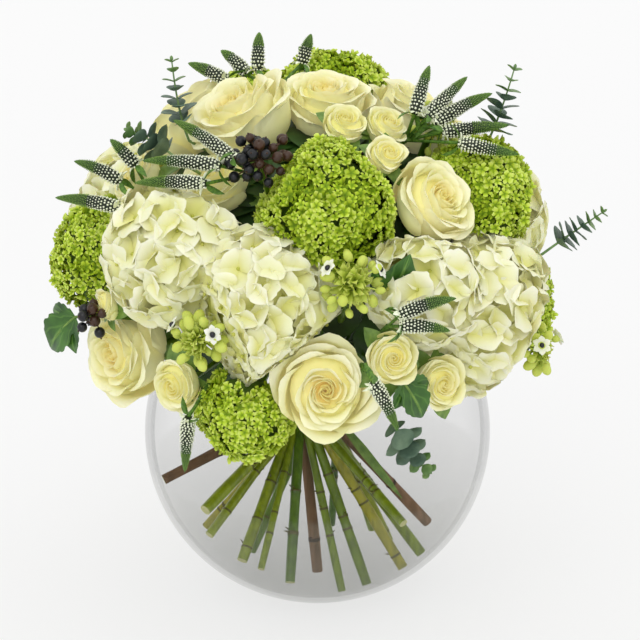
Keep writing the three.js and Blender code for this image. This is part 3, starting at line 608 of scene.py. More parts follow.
def petal_paint(name, inner, middle, edge, heart=None, vary=0.12, painted_glow=0.0, roughness=0.55):
    """Petals that run from one colour at their foot to another at their edge, with a faint painted glow for
    light shining through them.
    """
    paint = Paint(name, roughness)
    # The pale edge is the petal's own colour; the deeper, more saturated foot is partly its own colour and
    # partly painted shade for the hollows it sits in.
    base = paint.ramp(paint.along, (0.0, inner), (0.45, middle), (0.95, edge))
    # Towards the heart, deeper golden colours: partly the rose's own yellow heart, partly painted shade in
    # its folds.
    if heart:
        heart_and_fold_shade = paint.ramp(paint.along, *zip((0.35, 0.78, 1.0), heart))
        base = paint.mix(paint.ramp(paint.outward, (0.15, WHITE), (0.55, BLACK)), base, heart_and_fold_shade)
    base = paint.multiplied(base, paint.draw, (0.0, (1 - vary, 1 - vary, 1 - vary * 1.4, 1)), (1.0, WHITE))
    base = paint.multiplied(base, paint.noise(45, 2.0), (0.35, (0.95, 0.96, 0.8, 1)), (0.6, WHITE))
    paint.color(base)
    paint.bump(paint.noise(260), 0.25)
    paint.set(Subsurface_Weight=0.05, Subsurface_Scale=0.008, Specular_IOR_Level=0.2)
    # A faint glow in the edge colour: painted light for light shining through the petals.
    paint.set(Emission_Color=light_of(edge), Emission_Strength=painted_glow)


def plain_paint(name, dark, light, roughness, scale=180, **values):
    """One colour that drifts between two shades."""
    paint = Paint(name, roughness)
    drift = paint.noise(scale)
    paint.color(paint.ramp(drift, (0.3, dark), (0.7, light)))
    paint.bump(drift, 0.2, 0.5 * MM)
    paint.set(**values)


def stem_paint(name, roughness, scar, *shades):
    """Stems whose shade is drawn for each, with fine streaks along them and dark leaf scars."""
    paint = Paint(name, roughness)
    base = paint.ramp(paint.draw, *zip(np.linspace(0, 1, len(shades)), shades))
    streak = paint.noise(260, 4.0, (1, 1, 0.1))
    base = paint.multiplied(base, streak, (0.32, (0.6, 0.62, 0.55, 1)), (0.62, WHITE))
    on_scar = paint.ramp(paint.outward, (0.3, WHITE), (0.75, BLACK))
    paint.color(paint.mix(on_scar, base, light_of(scar)))
    paint.bump(streak, 0.35)


def spike_paint(name, dark, green, tip):
    """The body of a spike: nearly black between its white buds, painted shade over its green, and green
    towards its tip.
    """
    paint = Paint(name, 0.6)
    base = paint.ramp(paint.along, (0.42, dark), (0.68, green), (1.0, tip))
    drift = paint.noise(700)
    paint.color(paint.multiplied(base, drift, (0.35, (0.55, 0.6, 0.5, 1)), (0.6, WHITE)))
    paint.bump(drift, 0.4)


def leaf_paint(name, dark, light, vein, roughness):
    """A blade that is mottled between two greens, with a pale rib and side veins."""
    paint = Paint(name, roughness)
    base = paint.ramp(paint.noise(70), (0.3, dark), (0.7, light))
    rows = paint.veins(1.4, 0.9)
    base = paint.mix(paint.ramp(rows, (0.86, BLACK), (1.0, grey(0.4))), base, light_of(vein))
    on_rib = paint.ramp(paint.outward, (0.04, WHITE), (0.14, BLACK))
    paint.color(paint.mix(on_rib, base, light_of(vein)))
    paint.bump(rows, 0.3)


# The glass, in metres and shares: how much of it shows at each height, and by how far it turns away. Low down
# it shows as a pale grey veil, a painted reflection of the floor, thicker towards the foot; higher up as a
# faint dark grey, painted shade over what is seen through it.
REFLECTION_TOP = 0.097
REFLECTION_AND_SHADE_VEIL = ((0.0, 0.24), (0.03, 0.19), (REFLECTION_TOP - 0.001, 0.09), (REFLECTION_TOP, 0.05))
TURNED_AWAY = ((0.0, 0.0), (0.4, 0.062), (0.565, 0.085), (0.59, 0.22), (0.8, 0.26))


def glass_paint(name):
    """Clear glass in a faint dark grey, painted shade, shown more where the wall turns away, and towards its
    foot a pale grey veil, a painted reflection of the floor.
    """
    paint = Paint(name, 0.02)
    edge_on = paint.node("LayerWeight", Blend=0.3)
    split = paint.node("SeparateXYZ")
    paint.link(paint.node("TexCoord").outputs["Object"], split.inputs[0])
    height = split.outputs["Z"]
    turned = paint.ramp(edge_on.outputs["Facing"], *((place, grey(share)) for place, share in TURNED_AWAY))
    low = paint.ramp(height, *((place, grey(share)) for place, share in REFLECTION_AND_SHADE_VEIL))
    paint.link(paint.mix(1.0, turned, low, "LIGHTEN"), paint.shader.inputs["Alpha"])
    paint.set(Specular_IOR_Level=0.1, IOR=1.45)
    # Pale grey below the top of the veil, a painted reflection of the floor; dark grey above it, painted
    # shade.
    paint.color(paint.ramp(height, (REFLECTION_TOP - 0.001, (134, 135, 128)), (REFLECTION_TOP, (52, 55, 54))))


def make_materials():
    # Heart colours of the roses: partly their own yellow, partly painted shade in the folds.
    heart = ((234, 190, 58), (244, 222, 112), (246, 238, 174))
    # In the two rose paints the last number is the strength of a painted glow.
    petal_paint("rose_petal", (242, 225, 112), (244, 236, 164), (246, 243, 208), heart, 0.05, 0.07)
    heart = ((230, 212, 92), (240, 229, 138), (243, 238, 188))
    petal_paint("spray_rose_petal", (228, 218, 104), (238, 232, 154), (243, 240, 202), heart, 0.05, 0.07)
    # Hydrangea petals: a yellow-green foot, partly painted shade, and a faint painted glow.
    petal_paint("hydrangea_petal", (184, 187, 42), (228, 225, 142), (240, 239, 214), None, 0.08, 0.04, 0.6)
    # The cores of the balls are darker than their petals: partly the green of the stalks, partly painted
    # shade between the florets.
    plain_paint("hydrangea_core", (170, 176, 60), (214, 214, 110), 0.8)
    # Guelder petals: a dark green foot, partly the florets' own green, partly painted shade between them.
    petal_paint("guelder_petal", (100, 136, 10), (190, 216, 50), (222, 238, 124), vary=0.22, roughness=0.6)
    plain_paint("guelder_core", (60, 88, 10), (100, 132, 22), 0.8)
    plain_paint("calyx", (84, 118, 44), (126, 158, 70), 0.5)
    greens = ((54, 96, 14), (98, 130, 8), (144, 160, 24), (166, 158, 40))
    stem_paint("green_stem", 0.32, (84, 80, 20), *greens)
    plain_paint("cut_end", (176, 178, 112), (206, 204, 146), 0.7, 600)
    stem_paint("bark", 0.8, (66, 48, 34), (112, 82, 54), (156, 122, 94))
    # The spike's core is nearly black where the white buds sit: painted shade between them.
    spike_paint("speedwell_core", (18, 36, 4), (46, 82, 14), (72, 114, 26))
    plain_paint("speedwell_bead", (226, 236, 196), (253, 255, 238), 0.5, 400)
    plain_paint("speedwell_bud", (104, 142, 52), (150, 184, 86), 0.6, 500)
    plain_paint("speedwell_tip", (44, 84, 16), (104, 146, 48), 0.6, 500)
    plain_paint("gum_leaf", (60, 86, 70), (112, 136, 114), 0.5, 90)
    plain_paint("gum_tip", (78, 116, 60), (130, 160, 96), 0.5, 90)
    petal_paint("star_bud", (150, 176, 48), (196, 212, 84), (214, 224, 120))
    petal_paint("star_white", (214, 220, 170), (246, 247, 236), (253, 253, 250))
    plain_paint("ink_black", (8, 10, 16), (22, 22, 34), 0.18)
    plain_paint("berry_skin", (8, 12, 14), (30, 30, 34), 0.3, 60, Specular_IOR_Level=0.4)
    plain_paint("berry_brown", (40, 24, 14), (74, 48, 30), 0.35, 60, Specular_IOR_Level=0.4)
    leaf_paint("leaf_blade", (28, 68, 14), (64, 112, 30), (98, 142, 56), 0.42)
    # Leaves inside the dome are a darker green than the outer ones: partly painted shade.
    plain_paint("inner_leaf", (20, 44, 10), (48, 84, 24), 0.5, 60)
    plain_paint("twine", (140, 116, 74), (184, 160, 112), 0.9, 900)
    glass_paint("clear_glass")


def placed(name, data):
    """A new object in the scene."""
    made = bpy.data.objects.new(name, data)
    bpy.context.scene.collection.objects.link(made)
    return made


def finish_piece(name, shells, material_names, slot, *nodes):
    """Makes the object, lets it ride on the part and hides the CAD nodes it stands for."""
    points = np.concatenate(shells.points)
    faces = np.concatenate(shells.faces).astype(np.int32)
    rims = np.concatenate(shells.rims)
    mesh = bpy.data.meshes.new(name)
    mesh.vertices.add(len(points))
    mesh.vertices.foreach_set("co", points.astype(np.float32).ravel())
    mesh.loops.add(faces.size)
    mesh.loops.foreach_set("vertex_index", faces.ravel())
    mesh.polygons.add(len(faces))
    mesh.polygons.foreach_set("loop_start", np.arange(len(faces), dtype=np.int32) * 3)
    mesh.polygons.foreach_set("material_index", np.concatenate(shells.slots).astype(np.int32))
    mesh.polygons.foreach_set("use_smooth", np.ones(len(faces), bool))
    mesh.update(calc_edges=True)
    tones = np.ones((len(points), 4), np.float32)
    tones[:, :3] = np.concatenate(shells.tones)
    mesh.color_attributes.new("tone", "FLOAT_COLOR", "POINT").data.foreach_set("color", tones.ravel())
    ends = np.empty(len(mesh.edges) * 2, np.int32)
    mesh.edges.foreach_get("vertices", ends)
    sharp = rims[ends[0::2]] & rims[ends[1::2]]
    mesh.attributes.new("sharp_edge", "BOOLEAN", "EDGE").data.foreach_set("value", sharp)
    for material_name in material_names:
        mesh.materials.append(materials[material_name])
    piece = placed(name, mesh)
    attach(piece, "root")
    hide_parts(*nodes)


# Glass bowl
def sphere_arc(radius, low, high, steps):
    ends = [math.asin((height - BOWL_CENTRE) / radius) for height in (low, high)]
    return [(radius * math.cos(a), BOWL_CENTRE + radius * math.sin(a)) for a in np.linspace(*ends, steps)]


def glass_bowl():
    shells = Shells()
    rim_round = BOWL_WALL / 2
    rim_height = BOWL_HEIGHT - rim_round
    outer = sphere_arc(BOWL_RADIUS, 0.6, rim_height, 44)
    inner = sphere_arc(BOWL_RADIUS - BOWL_WALL, BOWL_FLOOR, rim_height, 36)[::-1]
    middle = (outer[-1][0] + inner[0][0]) / 2
    half = (outer[-1][0] - inner[0][0]) / 2
    over_rim = np.linspace(0, math.pi, 9)[1:-1]
    rim = [(middle + half * math.cos(a), rim_height + rim_round * math.sin(a)) for a in over_rim]
    foot = [(BOWL_FOOT_RADIUS * 0.5, 0), (BOWL_FOOT_RADIUS * 0.97, 0)]
    floor = [(inner[-1][0] * share, BOWL_FLOOR) for share in (0.8, 0.4)]
    turned_shell(shells, [(0, 0), *foot, *outer, *rim, *inner, *floor, (0, BOWL_FLOOR)], 128)
    finish_piece("fishbowl", shells, ["clear_glass"], "glass", "glass_bowl")


# Leaves: a blade over a grid, from its foot to its tip. An outline is places along it and the widths there.
PLAIN_OUTLINE = ((0, 0.15, 0.4, 0.7, 0.9, 1), (0.1, 0.7, 1, 0.8, 0.35, 0.04))
ROUND_OUTLINE = ((0, 0.12, 0.3, 0.55, 0.8, 0.94, 1), (0.1, 0.55, 0.92, 1, 0.78, 0.4, 0.04))
SERRATED_OUTLINE = (
    (0, 0.08, 0.14, 0.2, 0.28, 0.36, 0.42, 0.5, 0.58, 0.64, 0.72, 0.8, 0.85, 0.93, 1),
    (0.1, 0.5, 0.72, 0.62, 0.9, 1, 0.88, 1, 0.96, 0.8, 0.74, 0.56, 0.42, 0.24, 0.03),
)


class LeafForm:
    """An outline, how far the blade arches, folds along its rib and waves, and the size of its grid."""

    def __init__(self, outline, arch, fold, grid=(9, 7), wave=0.0):
        self.outline = outline
        self.arch = arch
        self.fold = fold
        self.grid = grid
        self.wave = wave


SPRAY_ROSE_LEAF = LeafForm(PLAIN_OUTLINE, arch=0.08, fold=0.3)
FLUFF_LEAF = LeafForm(PLAIN_OUTLINE, arch=0.1, fold=0.3, grid=(5, 4))
LINING_LEAF = LeafForm(PLAIN_OUTLINE, arch=0.06, fold=0.2, grid=(6, 5))
STRAY_LEAF = LeafForm(PLAIN_OUTLINE, arch=0.06, fold=0.5)
GUM_LEAF = LeafForm(ROUND_OUTLINE, arch=0.05, fold=0.12)
GUM_TIP_LEAF = LeafForm(ROUND_OUTLINE, arch=0.0, fold=0.1, grid=(5, 5))
KNOT_LEAF = LeafForm(ROUND_OUTLINE, arch=0.1, fold=0.5, grid=(5, 4), wave=0.05)
STAR_PETAL = LeafForm(ROUND_OUTLINE, arch=0.08, fold=0.2, grid=(6, 5))
BROAD_LEAF = LeafForm(SERRATED_OUTLINE, arch=0.12, fold=0.25, grid=(33, 7))
BLADE_THICKNESS = 0.8 * MM


def blade(shells, form, base, along, normal, length, half_width, slot):
    side = unit(np.cross(normal, along))
    normal = np.cross(along, side)
    v = np.linspace(0, 1, form.grid[0])[:, None]
    u = np.linspace(-1, 1, form.grid[1])
    width = half_width * np.interp(v, *form.outline)
    rise = 4 * form.arch * length * v * (1 - v) + form.fold * width * np.abs(u)
    rise = rise + form.wave * length * np.sin(9 * v + 2 * u) * np.abs(u)
    points = base + (length * v)[..., None] * along + (width * u)[..., None] * side + rise[..., None] * normal
    tones = np.stack(np.broadcast_arrays(v, 0.5, np.abs(u)), axis=2)
    lens(shells, points[None], BLADE_THICKNESS, tones[None], slot)


# Small round things on a surface
def beads(shells, ball, places, radii, slot=0, tones=PLAIN, frames=None, longer=1.0):
    """Balls in their places, or longer ones that lie along their frames' axes."""
    points, faces = ball
    sized = points * np.reshape(radii, (-1, 1, 1)) * [1, 1, longer]
    if frames is not None:
        sized = np.einsum("nkj,nij->nki", sized, frames)
    shells.add_copies(places[:, None] + sized, faces, tones, slot)


BEAD = globe(2, 5)
FINE_BEAD = globe(5, 10)
SMALL_BUD = globe(1, 4)


# Roses: petals wrapped round a heart, each on a cup a little wider than the last. Lengths are shares of the
# rose's radius, angles are in degrees, and each row runs from the heart to the outermost petal.
class RoseForm:
    def __init__(self, grid, petals, shoulder_out, edge_height, half_width, lip, roll):
        self.grid = grid
        self.petals = petals
        self.order = np.linspace(0, 1, petals)
        self.shoulder_out = self.spread(shoulder_out)
        self.edge_height = self.spread(edge_height)
        self.half_width = np.radians(self.spread(half_width))
        self.lip = self.spread(lip)
        self.roll = np.radians(self.spread(roll))

    def spread(self, row):
        """A row of numbers as one for each petal."""
        return np.interp(self.order, np.linspace(0, 1, len(row)), row)


ROSE_FORMS = {
    "rose": RoseForm(
        grid=(9, 11),
        petals=46,
        shoulder_out=(0.03, 0.11, 0.23, 0.4, 0.62, 0.84),
        edge_height=(0.35, 0.42, 0.47, 0.48, 0.38, 0.12),
        half_width=(110, 70, 56, 54, 56, 54),
        lip=(0.08, 0.1, 0.13, 0.17, 0.2, 0.24),
        roll=(-25, -6, 18, 54, 96, 128),
    ),
    "spray_rose": RoseForm(
        grid=(8, 9),
        petals=26,
        shoulder_out=(0.06, 0.25, 0.48, 0.7, 0.84),
        edge_height=(0.44, 0.5, 0.48, 0.34, 0.12),
        half_width=(120, 84, 70, 64, 58),
        lip=(0.1, 0.14, 0.17, 0.2, 0.22),
        roll=(-30, 0, 45, 90, 120),
    ),
}
LIP_FROM = 0.76
LEAST_ROLL = 0.02
ROSE_THICKNESS = 0.8 * MM


def per_petal(values):
    """One value for each petal, shaped to go with its grid."""
    return values[:, None, None]


def petal_profile(form, height, foot_out, foot_height):
    """Distance from the rose's axis and height along it, at a share of a petal's height."""
    shoulder = per_petal(form.shoulder_out)
    roll = per_petal(np.where(np.abs(form.roll) < LEAST_ROLL, LEAST_ROLL, form.roll))
    bend = per_petal(form.lip) / np.abs(roll)
    top = per_petal(form.edge_height) - bend * np.sin(np.minimum(np.abs(roll), math.pi / 2))
    s = np.minimum(height / LIP_FROM, 1)
    a, b, c, d = (1 - s) ** 3, 3 * s * (1 - s) ** 2, 3 * s**2 * (1 - s), s**3
    out = a * foot_out + b * (0.55 * shoulder + 0.12) + c * (shoulder * 1.04) + d * shoulder
    lift = a * foot_height + b * (foot_height + 0.04) + c * lerp(foot_height, top, 0.55) + d * top
    turn = np.maximum(height - LIP_FROM, 0) / (1 - LIP_FROM) * np.abs(roll)
    return out + np.sign(roll) * bend * (1 - np.cos(turn)), lift + bend * np.sin(turn)


HEART_REACH = 0.8
HEART_DEPTH = 0.17
HEART_SIDES = 20


def rose_heart(shells, head, form):
    """What shows between the inner petals: more petals, packed too close to see apart, in the deeper colours
    of a petal's foot and heart, partly painted shade in the folds.
    """
    share = np.linspace(0, HEART_REACH, 8)[::-1]
    out = np.interp(share, form.order, form.shoulder_out)
    lift = np.interp(share, form.order, form.edge_height) - HEART_DEPTH - 0.1 * share**2
    ends = (-0.45, lift[-1] + 0.02)
    local, faces = turned_body([out[0] * 0.8, *out], [-0.4, *lift], ends, HEART_SIDES)
    outward = np.append(np.repeat([HEART_REACH, *share], HEART_SIDES), [HEART_REACH, 0])
    tones = np.stack(np.broadcast_arrays(0.45, 0.5, outward), axis=1)
    press = press_of(head)
    shells.add(press(head.place(local)), faces, tones)


def rose_petals(shells, head):
    """Petals with a tip and falling sides, in a spiral, waved at the edge and a little out of place."""
    form = ROSE_FORMS[head.kind]
    rose_heart(shells, head, form)
    rng = head.rng
    count = form.petals
    t = per_petal(form.order)
    v = np.linspace(0, 1, form.grid[0])[:, None]
    u = np.linspace(-1, 1, form.grid[1])
    turn = per_petal(np.arange(count) * GOLDEN_ANGLE + rng.uniform(-0.5, 0.5, count))
    phase = per_petal(rng.uniform(0, 2 * math.pi, count))
    vary = per_petal(rng.uniform(0.9, 1.1, count))
    outer = np.clip(t * 2 - 0.7, 0, 1)

    # A pointed tip and sides that fall away
    tip = 0.05 * outer * np.exp(-(((u - 0.1 * np.sin(phase)) / 0.2) ** 2))
    sides = (0.1 + 0.22 * t) * np.abs(u) ** 2.8
    height = v * (0.98 - sides * vary + tip)
    out, lift = petal_profile(form, height, 0.04 + 0.12 * t, -0.5 - 0.1 * t)
    # Each petal runs in a spiral, and its edge is waved
    spiral = 0.26 - 0.18 * t
    out = out * (1 + spiral * u) * lerp(1, vary, 0.3)
    wave = np.sin(3.1 * u + phase) + 0.6 * np.sin(6.3 * u - phase * 1.7)
    out = out + (0.013 + 0.015 * outer) * wave * height**2
    lift = lift + (0.022 + 0.008 * outer) * np.cos(4.2 * u + phase) * height**3 - 0.02 * t * u
    widen = np.interp(v, (0, 0.35, 0.8, 1), (0.6, 0.92, 1, 0.93))
    angle = turn + u * per_petal(form.half_width) * widen
    # The whole petal is a little out of place
    stray = 0.012 + 0.05 * np.minimum(t, 0.6)
    aside = stray * per_petal(rng.normal(0, 1, count))
    across = stray * per_petal(rng.normal(0, 1, count))
    local = np.stack([out * np.cos(angle) + aside, out * np.sin(angle) + across, lift], axis=3)
    tones = np.stack(np.broadcast_arrays(height, per_petal(rng.uniform(0, 1, count)), t), axis=3)
    lens(shells, head.place(local), ROSE_THICKNESS, tones, press=press_of(head))


SEPALS = 5
SEPAL_THICKNESS = 0.6 * MM
SPRAY_ROSE_LEAVES = 5


def calyx(shells, head):
    """The green cup under a rose, with narrow sepals."""
    ball, faces = globe(5, 12)
    shells.add(head.place(ball * [0.24, 0.24, 0.2] + [0, 0, -0.5]), faces, slot=1)
    v = np.linspace(0, 1, 6)[:, None]
    u = np.linspace(-1, 1, 5)
    out = 0.18 + 0.56 * v - 0.1 * v**2
    lift = -0.52 + 0.1 * v**2
    angle = per_petal(angles_round(SEPALS)) + u * 0.22 * (1 - v) ** 0.6 / (0.5 + v)
    local = np.stack(np.broadcast_arrays(out * np.cos(angle), out * np.sin(angle), lift), axis=3)
    lens(shells, head.place(local), SEPAL_THICKNESS, slot=1, press=press_of(head))
    if head.kind == "spray_rose":
        spray_rose_leaves(shells, head)


def spray_rose_leaves(shells, head):
    """Small leaves behind a spray rose."""
    foot = head.centre - head.axis * head.radius * 0.5
    for k in range(SPRAY_ROSE_LEAVES):
        turn = 2 * math.pi * (k + head.rng.uniform(-0.3, 0.3)) / SPRAY_ROSE_LEAVES
        aim = unit(aside_of(head.frame, turn) + head.axis * head.rng.uniform(-0.2, 0.15))
        length = head.radius * head.rng.uniform(1.2, 1.5)
        blade(shells, SPRAY_ROSE_LEAF, foot, aim, head.axis, length, length * 0.3, 1)


def rose(head):
    shells = Shells()
    rose_petals(shells, head)
    calyx(shells, head)
    finish_piece(f"{head.name}_petals", shells, [f"{head.kind}_petal", "calyx"], "rose", head.name)


def fork_of(members):
    """The roses of a spray, the way they face on the whole, and the place where their stalks part."""
    roses = [heads[member] for member in members]
    axis = unit(sum(one.axis for one in roses))
    return roses, axis, sum(one.seat for one in roses) / len(roses) - axis * FORK_DEPTH * MM


def rose_spray(name, members):
    shells = Shells()
    roses, _, fork = fork_of(members)
    for one in roses:
        rose_petals(shells, one)
        calyx(shells, one)
        stalk = bezier(fork, one.seat - one.axis * 5 * MM, one.seat + one.axis * 2 * MM, 6)
        tube(shells, stalk, ROSE_STALK * MM, sides=8, slot=1)
    finish_piece(f"{name}_petals", shells, ["spray_rose_petal", "calyx"], "rose", name)


# Balls of florets
def ball_spots(head, count, cover, flat=1.0):
    """Directions over the top of a ball, as points at unit radius and as outward normals."""
    share = (np.arange(count) + 0.5) / count
    polar = np.arccos(1 - share * (1 - math.cos(math.radians(cover))))
    turn = np.arange(count) * GOLDEN_ANGLE
    local = np.stack([np.sin(polar) * np.cos(turn), np.sin(polar) * np.sin(turn), np.cos(polar)], 1)
    return (local * [1, 1, flat]) @ head.frame.T, unit((local * [1, 1, 1 / flat]) @ head.frame.T)


SPIKE_ROOM = 6.5 * MM
SPRIG_ROOM = 6 * MM


def spray_lines():
    """The middle line of every spike, sprig and leaf on the dome: two ends and the room it takes."""
    lines = []
    for rows in SPEEDWELL.values():
        lines += [(at(*foot), at(*tip), SPIKE_ROOM) for foot, tip in rows]
    for foot, bend, tip, _ in GUM.values():
        lines += [(at(*foot), at(*bend), SPRIG_ROOM), (at(*bend), at(*tip), SPRIG_ROOM)]
    for foot, tip, width, _ in LEAVES.values():
        lines.append((at(*foot), at(*tip), width / 2 * MM))
    return lines


def clear_of_sprays(points):
    keep = np.ones(len(points), bool)
    for start, end, reach in spray_lines():
        along = end - start
        share = np.clip((points - start) @ along / (along @ along), 0, 1)
        nearest = start + share[:, None] * along
        keep &= np.linalg.norm(points - nearest, axis=1) > reach
    return keep


def ball_core(shells, head, share, flat):
    """The middle of a ball, in the slot after its petals', in darker greens: partly the green of its stalks,
    partly painted shade between the florets.
    """
    ball, faces = globe(11, 20)
    press = press_of(head)
    shells.add(press(head.place(ball * [1, 1, flat] * share)), faces, slot=1)


def tilted(normals, rng, spread):
    return unit(normals + rng.normal(0, spread, normals.shape))


def florets_of(head, flat, area_each, cover, depths, swell, lumps, tilt):
    """Places, frames and depths of the florets on a ball, at uneven depths and tilted."""
    rng = head.rng
    area = 2 * math.pi * head.radius**2 * (1 - math.cos(math.radians(cover)))
    count = round(area / (area_each * MM**2))
    spots, normals = ball_spots(head, count, cover, flat)
    rise = np.sin(spots * lumps + rng.uniform(0, 2 * math.pi, 3)).mean(axis=1)
    depth = np.clip(rng.uniform(*depths, count) + swell * rise, 0, depths[1] + 0.02)
    points, keep = settled(head, head.centre + spots * head.radius * depth[:, None])
    keep &= clear_of_sprays(head.centre + spots * head.radius)
    axes = tilted(normals[keep], rng, tilt)
    return points[keep], turned_to(axes, rng.uniform(0, 2 * math.pi, len(axes))), depth[keep]


BALL_LIMIT = 1.06
BALL_BAND = 0.12


def ball_share(points, head, flat):
    """How far out in the ball each point is, from 0 in the middle to 1 on its surface."""
    local = (points - head.centre) @ head.frame / [1, 1, flat]
    return np.linalg.norm(local, axis=-1) / head.radius


def within_ball(points, head, flat):
    """Draws points that stand out past the ball back to it, softly."""
    share = ball_share(points, head, flat)
    over = np.maximum(share - (BALL_LIMIT - BALL_BAND), 0)
    wanted = share - over + BALL_BAND * (1 - np.exp(-over / BALL_BAND))
    return head.centre + (points - head.centre) * (wanted / np.maximum(share, 1e-6))[..., None]


# Hydrangea florets: four petals round a small eye
HYDRANGEA_FLAT = 0.88
HYDRANGEA_FLORETS = {
    "area_each": 400,
    "cover": 122,
    "depths": (0.7, 0.9),
    "swell": 0.05,
    "lumps": 3.1,
    "tilt": 0.25,
}
HYDRANGEA_GRID = (6, 8)
HYDRANGEA_PETAL = 19 * MM
PETAL_WIDTH = ((0, 0.12, 0.35, 0.62, 0.84, 1), (0.14, 0.46, 0.9, 1, 0.94, 0.7))
PETAL_LIFTS = np.array([0, 0.6, 0, 0.6]) * MM
FLORET_THICKNESS = 0.5 * MM
EYE_LIFT = 1 * MM
EYE_RADIUS = 1.4 * MM


def hydrangea_petals(rng, count):
    """Ruffled petals in each floret's own frame, shaped (florets, petals, rows, columns, 3)."""

    def draw(low, high):
        return rng.uniform(low, high, (count, 4, 1, 1))

    v = np.linspace(0, 1, HYDRANGEA_GRID[0])[:, None]
    u = np.linspace(-1, 1, HYDRANGEA_GRID[1])
    length = HYDRANGEA_PETAL * draw(0.85, 1.15)
    width = np.interp(v, *PETAL_WIDTH)
    phase = draw(0, 2 * math.pi)
    # The outline, with a notched edge
    x = length * 0.58 * width * u
    y = length * (v * (1 + 0.07 * np.sin(3 * u + phase) + 0.03 * np.sin(7 * u - phase)) - 0.22 * v**2 * u**2)
    # The blade's bow and ruffle, then its pitch and its turn round the eye
    bow = draw(-0.25, 0.25) * v**2 + draw(-0.12, 0.26) * u**2 * width * v
    ruffle = 0.09 * v**1.5 * (np.sin(2.7 * u + phase) + 0.55 * np.sin(5.1 * u + 2.3 * v - 2 * phase))
    z = length * (bow + ruffle)
    pitch = draw(0.05, 0.7)
    y, z = y * np.cos(pitch) - z * np.sin(pitch), y * np.sin(pitch) + z * np.cos(pitch)
    spin = per_petal(angles_round(4)) + draw(-0.2, 0.2)
    z = z + per_petal(PETAL_LIFTS)
    return np.stack([x * np.cos(spin) - y * np.sin(spin), x * np.sin(spin) + y * np.cos(spin), z], axis=4)


def hydrangea(head):
    rng = head.rng
    shells = Shells()
    centres, frames, _ = florets_of(head, HYDRANGEA_FLAT, **HYDRANGEA_FLORETS)
    count = len(centres)
    local = hydrangea_petals(rng, count)
    world = np.einsum("nprcj,nij->nprci", local, frames) + centres[:, None, None, None, :]
    world = within_ball(world, head, HYDRANGEA_FLAT)
    outward = ball_share(world, head, HYDRANGEA_FLAT)
    v = np.linspace(0, 1, HYDRANGEA_GRID[0])[:, None]
    # Florets deep in the ball take more of the darker, greener colour of a petal's foot: painted shade.
    along = v * 0.5 + np.clip((outward - 0.7) / 0.25, 0, 1) * 0.5
    tones = np.stack(np.broadcast_arrays(along, rng.uniform(0, 1, (count, 4, 1, 1)), outward), axis=4)
    grids, tones = (rows.reshape(-1, *HYDRANGEA_GRID, 3) for rows in (world, tones))
    lens(shells, grids, FLORET_THICKNESS, tones, press=press_of(head))
    beads(shells, globe(3, 6), centres + frames[:, :, 2] * EYE_LIFT, EYE_RADIUS, 1, (0.2, 0.5, 0.5))
    ball_core(shells, head, 0.66, HYDRANGEA_FLAT)
    paints = ["hydrangea_petal", "hydrangea_core"]
    finish_piece(f"{head.name}_florets", shells, paints, "hydrangea", head.name)


# Guelder florets: distance out, angle aside, lift and tone of the points round each petal's edge
GUELDER_FLAT = 0.94
GUELDER_FLORETS = {
    "area_each": 35,
    "cover": 126,
    "depths": (0.86, 0.98),
    "swell": 0.1,
    "lumps": 6.5,
    "tilt": 0.42,
}
GUELDER_FLORET = 3.9 * MM
GUELDER_PETALS = 5
PETAL_RIM = (
    (0.88, -0.4, 0.16, 0.9),
    (1.02, 0.0, 0.16, 1),
    (0.88, 0.4, 0.16, 0.9),
    (0.5, math.pi / GUELDER_PETALS, -0.05, 0.2),
)


def guelder_floret():
    """A floret as one closed solid, five round petals over a pointed foot: points, faces, tones and rims."""
    turns = angles_round(GUELDER_PETALS)
    points = [(0, 0, 0.02)]
    points += [(0.45 * math.cos(turn), 0.45 * math.sin(turn), 0.14) for turn in turns]
    for turn in turns:
        for out, aside, lift, _ in PETAL_RIM:
            points.append((out * math.cos(turn + aside), out * math.sin(turn + aside), lift))
    points.append((0, 0, -0.9))
    first_rim = 1 + GUELDER_PETALS
    foot = len(points) - 1
    round_rim = [*range(first_rim, foot), first_rim]
    faces = []
    for petal in range(GUELDER_PETALS):
        middle, following = 1 + petal, 1 + (petal + 1) % GUELDER_PETALS
        start = petal * len(PETAL_RIM)
        edge = [round_rim[start - 1 if petal else -2], *round_rim[start : start + len(PETAL_RIM)]]
        faces += [(middle, a, b) for a, b in zip(edge, edge[1:])]
        faces += [(0, middle, edge[-1]), (0, edge[-1], following)]
    faces += [(foot, b, a) for a, b in zip(round_rim, round_rim[1:])]
    rim_tones = [tone for *_, tone in PETAL_RIM]
    along = np.array([0.0, *[0.5] * GUELDER_PETALS, *rim_tones * GUELDER_PETALS, 0.0])
    rims = np.zeros(len(points), bool)
    rims[first_rim:foot] = True
    return np.array(points), np.array(faces), along, rims


def guelder(head):
    rng = head.rng
    shells = Shells()
    points, faces, along, rims = guelder_floret()
    centres, frames, depth = florets_of(head, GUELDER_FLAT, **GUELDER_FLORETS)
    count = len(centres)
    sizes = GUELDER_FLORET * rng.uniform(0.75, 1.3, count)
    flutter = rng.normal(0, 0.07, (count, len(points), 3))
    copies = (points + flutter) * sizes[:, None, None]
    world = np.einsum("nkj,nij->nki", copies, frames) + centres[:, None]
    # Florets sunk deeper in the ball take more of the dark green of a petal's foot: painted shade.
    raised = np.clip((depth - 0.8) / 0.16, 0, 1)[:, None]
    tones = np.broadcast_arrays(along * (0.3 + 0.7 * raised), rng.uniform(0, 1, (count, 1)), raised)
    shells.add_copies(world, faces, np.stack(tones, axis=2), 0, rims)
    ball_core(shells, head, 0.74, GUELDER_FLAT)
    finish_piece(f"{head.name}_florets", shells, ["guelder_petal", "guelder_core"], "guelder", head.name)


